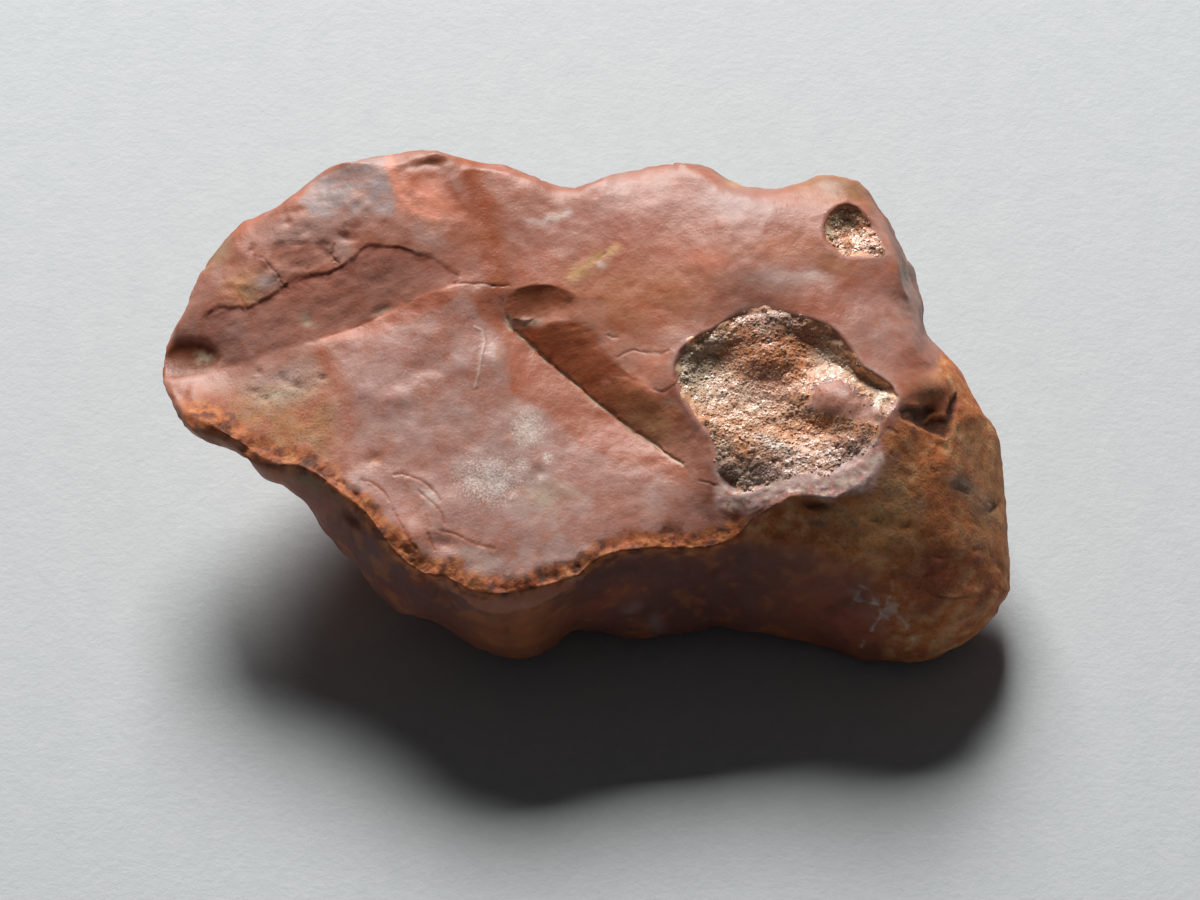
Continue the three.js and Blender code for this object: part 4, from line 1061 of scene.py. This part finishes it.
def quartz_material():
    """Clear grains, whose facets lean towards the way that the bed lies under them."""
    nodes = Nodes("quartz")
    cloud = nodes.math("MULTIPLY", nodes.step(0.4, 0.7, nodes.noise(0.5, 4)), 0.2)
    facet = nodes.add("ShaderNodeNewGeometry").outputs["Normal"]
    blend_in = {"Factor": SOFT_FACETS, 4: facet, 5: nodes.attribute("lie", "Vector")}
    softened = nodes.add("ShaderNodeMix", blend_in, data_type="VECTOR").outputs[1]
    length_one = nodes.add("ShaderNodeVectorMath", {0: softened}, operation="NORMALIZE").outputs[0]
    return nodes.shade({
        "Base Color": nodes.mix(cloud, nodes.attribute("paint", "Color"), CREAM),
        "Roughness": 0.28, "IOR": 1.54, "Normal": length_one,
    })


# ---- crystals

CRYSTAL_SIDES = 6
CRYSTAL_TILT = 0.35


def druse_colours(points):
    """Pink-orange sugar, with grey-green, amber, cream and bare red patches."""
    u, v, _ = face_place(points)
    wander = 0.8 * fractal(points, 1.6, 4, 71)
    u, v = u + wander, v - wander
    colours = np.tile(np.array(SUGAR), (len(points), 1))
    colours = blend(colours, CREAM, 0.6 * ramp(0.1, 0.6, fractal(points, 2.2, 4, 73)))
    colours = blend(colours, AMBER, 0.5 * ramp(0.1, 0.6, -fractal(points, 1.8, 4, 79)))
    for colour, strength, *place in DRUSE_PATCHES:
        colours = blend(colours, colour, strength * soft_spot(u, v, *place))
    swelling = ramp(-0.2, 0.4, inside_distance(u, v, SWELLING))
    colours = blend(colours, MAUVE, 0.8 * swelling)
    colours = blend(colours, BRICK, 0.75 * swelling * soft_spot(u, v, 24, 6, 3.4, 2.2, -20))
    return blend(colours, DARK_BROWN, 0.6 * swelling * soft_spot(u, v, 25, 5.5, 2.4, 1.2, -22))


def druse_bed(name, skin, outline):
    """A sugary sheet that fills the hollow's floor and dips into the stone along an uneven border."""
    inside = inside_distance(skin.u, skin.v, outline)
    inside = np.where(skin.facing > 0.02, inside, -9)
    patch = skin.triangles[(inside[skin.triangles] > -0.5).all(axis=1)]
    used, renumbered = np.unique(patch, return_inverse=True)
    points = skin.points[used]
    border = inside[used] + 0.6 * fractal(points, 1.3, 4, 75)
    slope_width = 1 + 2.5 * ramp(3, -1, skin.v[used])
    lift = 0.45 * ramp(-0.1, 1, border / slope_width) - 0.06
    lift += 0.12 * ramp(0.2, 1, border) * fractal(points, 0.8, 4, 77)
    for height, *place in BED_MOUNDS:
        lift += height * ramp(0, 1, border) * soft_spot(skin.u[used], skin.v[used], *place)
    piece = make_object(name, points + skin.normals[used] * lift[:, None], renumbered.reshape(-1, 3))
    add_colour(piece, "paint", druse_colours(points))
    piece.data.materials.append(DRUSE_BED)
    return piece


def quartz_crystals(name, bed, outline, groups, seed):
    """Six-sided quartz points, grown outwards from the bed, joined in one mesh."""
    random = np.random.default_rng(seed)
    corners = np.array([vertex.co[:] for vertex in bed.data.vertices]) / MM
    triangles = np.array([polygon.vertices[:] for polygon in bed.data.polygons])
    paint = druse_colours(corners)
    centres = corners[triangles].mean(axis=1)
    u, v, _ = face_place(centres)
    a, b, c = (corners[triangles[:, i]] for i in range(3))
    cross = triangle_crosses(corners, triangles)
    areas = np.linalg.norm(cross, axis=1)
    covered = ramp(0, 0.9, inside_distance(u, v, outline) + 0.8 * fractal(centres, 1.2, 3, 81))
    covered *= 1 - 0.97 * ramp(0, 0.5, inside_distance(u, v, SWELLING))
    sparkling = np.full(len(u), 0.12)
    for place in SPARKLING:
        sparkling = np.maximum(sparkling, soft_spot(u, v, *place))

    all_points, all_faces, all_colours, all_lies = [], [], [], []
    for count, smallest, largest, shares in groups:
        weights = areas * covered * (sparkling if shares == "sparkling" else 1)
        chosen = random.choice(len(triangles), count, p=weights / weights.sum())
        s, t = random.random((2, count, 1))
        flip = s + t > 1
        s, t = np.where(flip, 1 - s, s), np.where(flip, 1 - t, t)
        feet = a[chosen] + s * (b - a)[chosen] + t * (c - a)[chosen]
        lie = cross[chosen] / areas[chosen][:, None]
        axes = unit(lie + random.normal(0, CRYSTAL_TILT, (count, 3)))
        side = unit(np.cross(axes, random.normal(size=(count, 3))))
        other = np.cross(axes, side)
        radius = smallest + (largest - smallest) * random.random((count, 1)) ** 2
        shoulder = radius * random.uniform(-0.2, 0.5, (count, 1))
        tip = shoulder + radius * random.uniform(0.5, 0.9, (count, 1))
        rings = []
        for height in (-radius, shoulder):
            for turn in np.arange(CRYSTAL_SIDES) * 2 * np.pi / CRYSTAL_SIDES:
                rings.append(feet + height * axes + radius * (np.cos(turn) * side + np.sin(turn) * other))
        rings.append(feet + tip * axes)
        points = np.stack(rings, axis=1)
        size = points.shape[1]
        start = sum(len(part) for part in all_points)
        numbers = start + size * np.arange(count)[:, None, None]
        all_faces.append((crystal_faces()[None] + numbers).reshape(-1, 3))
        all_points.append(points.reshape(-1, 3))
        all_lies.append(np.repeat(lie, size, axis=0))
        colours = paint[triangles[chosen][:, 0]]
        pale = random.random(count) ** 3
        colours = blend(colours, WHITE, 0.6 * pale) * random.uniform(0.85, 1.1, (count, 1))
        all_colours.append(np.repeat(np.clip(colours, 0, 0.95), size, axis=0))
    piece = make_object(name, np.concatenate(all_points), np.concatenate(all_faces), smooth=False)
    add_colour(piece, "paint", np.concatenate(all_colours))
    add_place(piece, "lie", np.concatenate(all_lies))
    piece.data.materials.append(QUARTZ)
    return piece


def crystal_faces():
    """A six-sided prism without a foot, with a six-sided point."""
    faces = []
    for i in range(CRYSTAL_SIDES):
        j = (i + 1) % CRYSTAL_SIDES
        faces += [[i, j, CRYSTAL_SIDES + j], [i, CRYSTAL_SIDES + j, CRYSTAL_SIDES + i]]
        faces.append([CRYSTAL_SIDES + i, CRYSTAL_SIDES + j, 2 * CRYSTAL_SIDES])
    return np.array(faces)


def line_hollow(name, node, skin, outline, groups, seed):
    bed = druse_bed(name + "_bed", skin, outline)
    crystals = quartz_crystals(name + "_crystals", bed, outline, groups, seed)
    for piece in (bed, crystals):
        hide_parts(node)
        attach(piece, "root")


# ---- camera, light, floor

def add_camera():
    camera = bpy.data.objects.new("camera", bpy.data.cameras.new("camera"))
    camera.data.sensor_width = SENSOR_WIDTH
    camera.data.lens = SENSOR_WIDTH * CAMERA_DISTANCE / VIEW_WIDTH
    camera.data.clip_end = CLIP_END
    camera.location = (FACE_ORIGIN + CAMERA_DISTANCE * FACE_OUT) * MM
    camera.rotation_euler = (FACE_LEAN, 0, 0)
    bpy.context.scene.collection.objects.link(camera)
    bpy.context.scene.camera = camera


def add_lamp():
    """A soft square lamp that faces the stone."""
    lamp = bpy.data.objects.new("window", bpy.data.lights.new("window", "AREA"))
    lamp.data.size = LAMP_SIZE
    lamp.data.energy = LAMP_POWER
    lamp.data.color = LAMP_COLOUR
    lamp.location = LAMP_PLACE
    lamp.rotation_euler = (-Vector(LAMP_PLACE)).to_track_quat("-Z", "Y").to_euler()
    bpy.context.scene.collection.objects.link(lamp)


def add_floor():
    mesh = bpy.data.meshes.new("floor")
    corners = [(x * FLOOR_REACH, y * FLOOR_REACH, 0) for x, y in ((-1, -1), (1, -1), (1, 1), (-1, 1))]
    mesh.from_pydata(corners, [], [(0, 1, 2, 3)])
    floor = bpy.data.objects.new("floor", mesh)
    nodes = Nodes("floor")
    colour = nodes.mix(nodes.noise(3, 7, 0.7), (0.44, 0.47, 0.49), (0.53, 0.555, 0.57))
    weave = nodes.bump(nodes.noise(0.9, 7, 0.7), 0.3, 0.4)
    mesh.materials.append(nodes.shade({"Base Color": colour, "Roughness": 0.95, "Normal": weave}))
    bpy.context.scene.collection.objects.link(floor)


def add_world():
    world = bpy.data.worlds.new("studio")
    bpy.context.scene.world = world
    world.use_nodes = True
    background = world.node_tree.nodes["Background"]
    background.inputs["Color"].default_value = (*SKY_COLOUR, 1)
    background.inputs["Strength"].default_value = SKY_STRENGTH


# ---- the make

add_camera()
add_world()
add_floor()
add_lamp()
bpy.context.scene.view_settings.view_transform = "Standard"

JASPER = jasper_material()
DRUSE_BED = druse_bed_material()
QUARTZ = quartz_material()

skin = stone_surface()
sculpt_stone(skin)
stone = make_object("stone", skin.points, skin.triangles)
stone.data.materials.append(JASPER)
paint_stone(skin, stone)
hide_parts("jasper_stone")
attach(stone, "root")

line_hollow("large_hollow", "quartz_crust_large", skin, LARGE_HOLLOW, LARGE_HOLLOW_CRYSTALS, 11)
line_hollow("small_hollow", "quartz_crust_small", skin, SMALL_HOLLOW, SMALL_HOLLOW_CRYSTALS, 12)
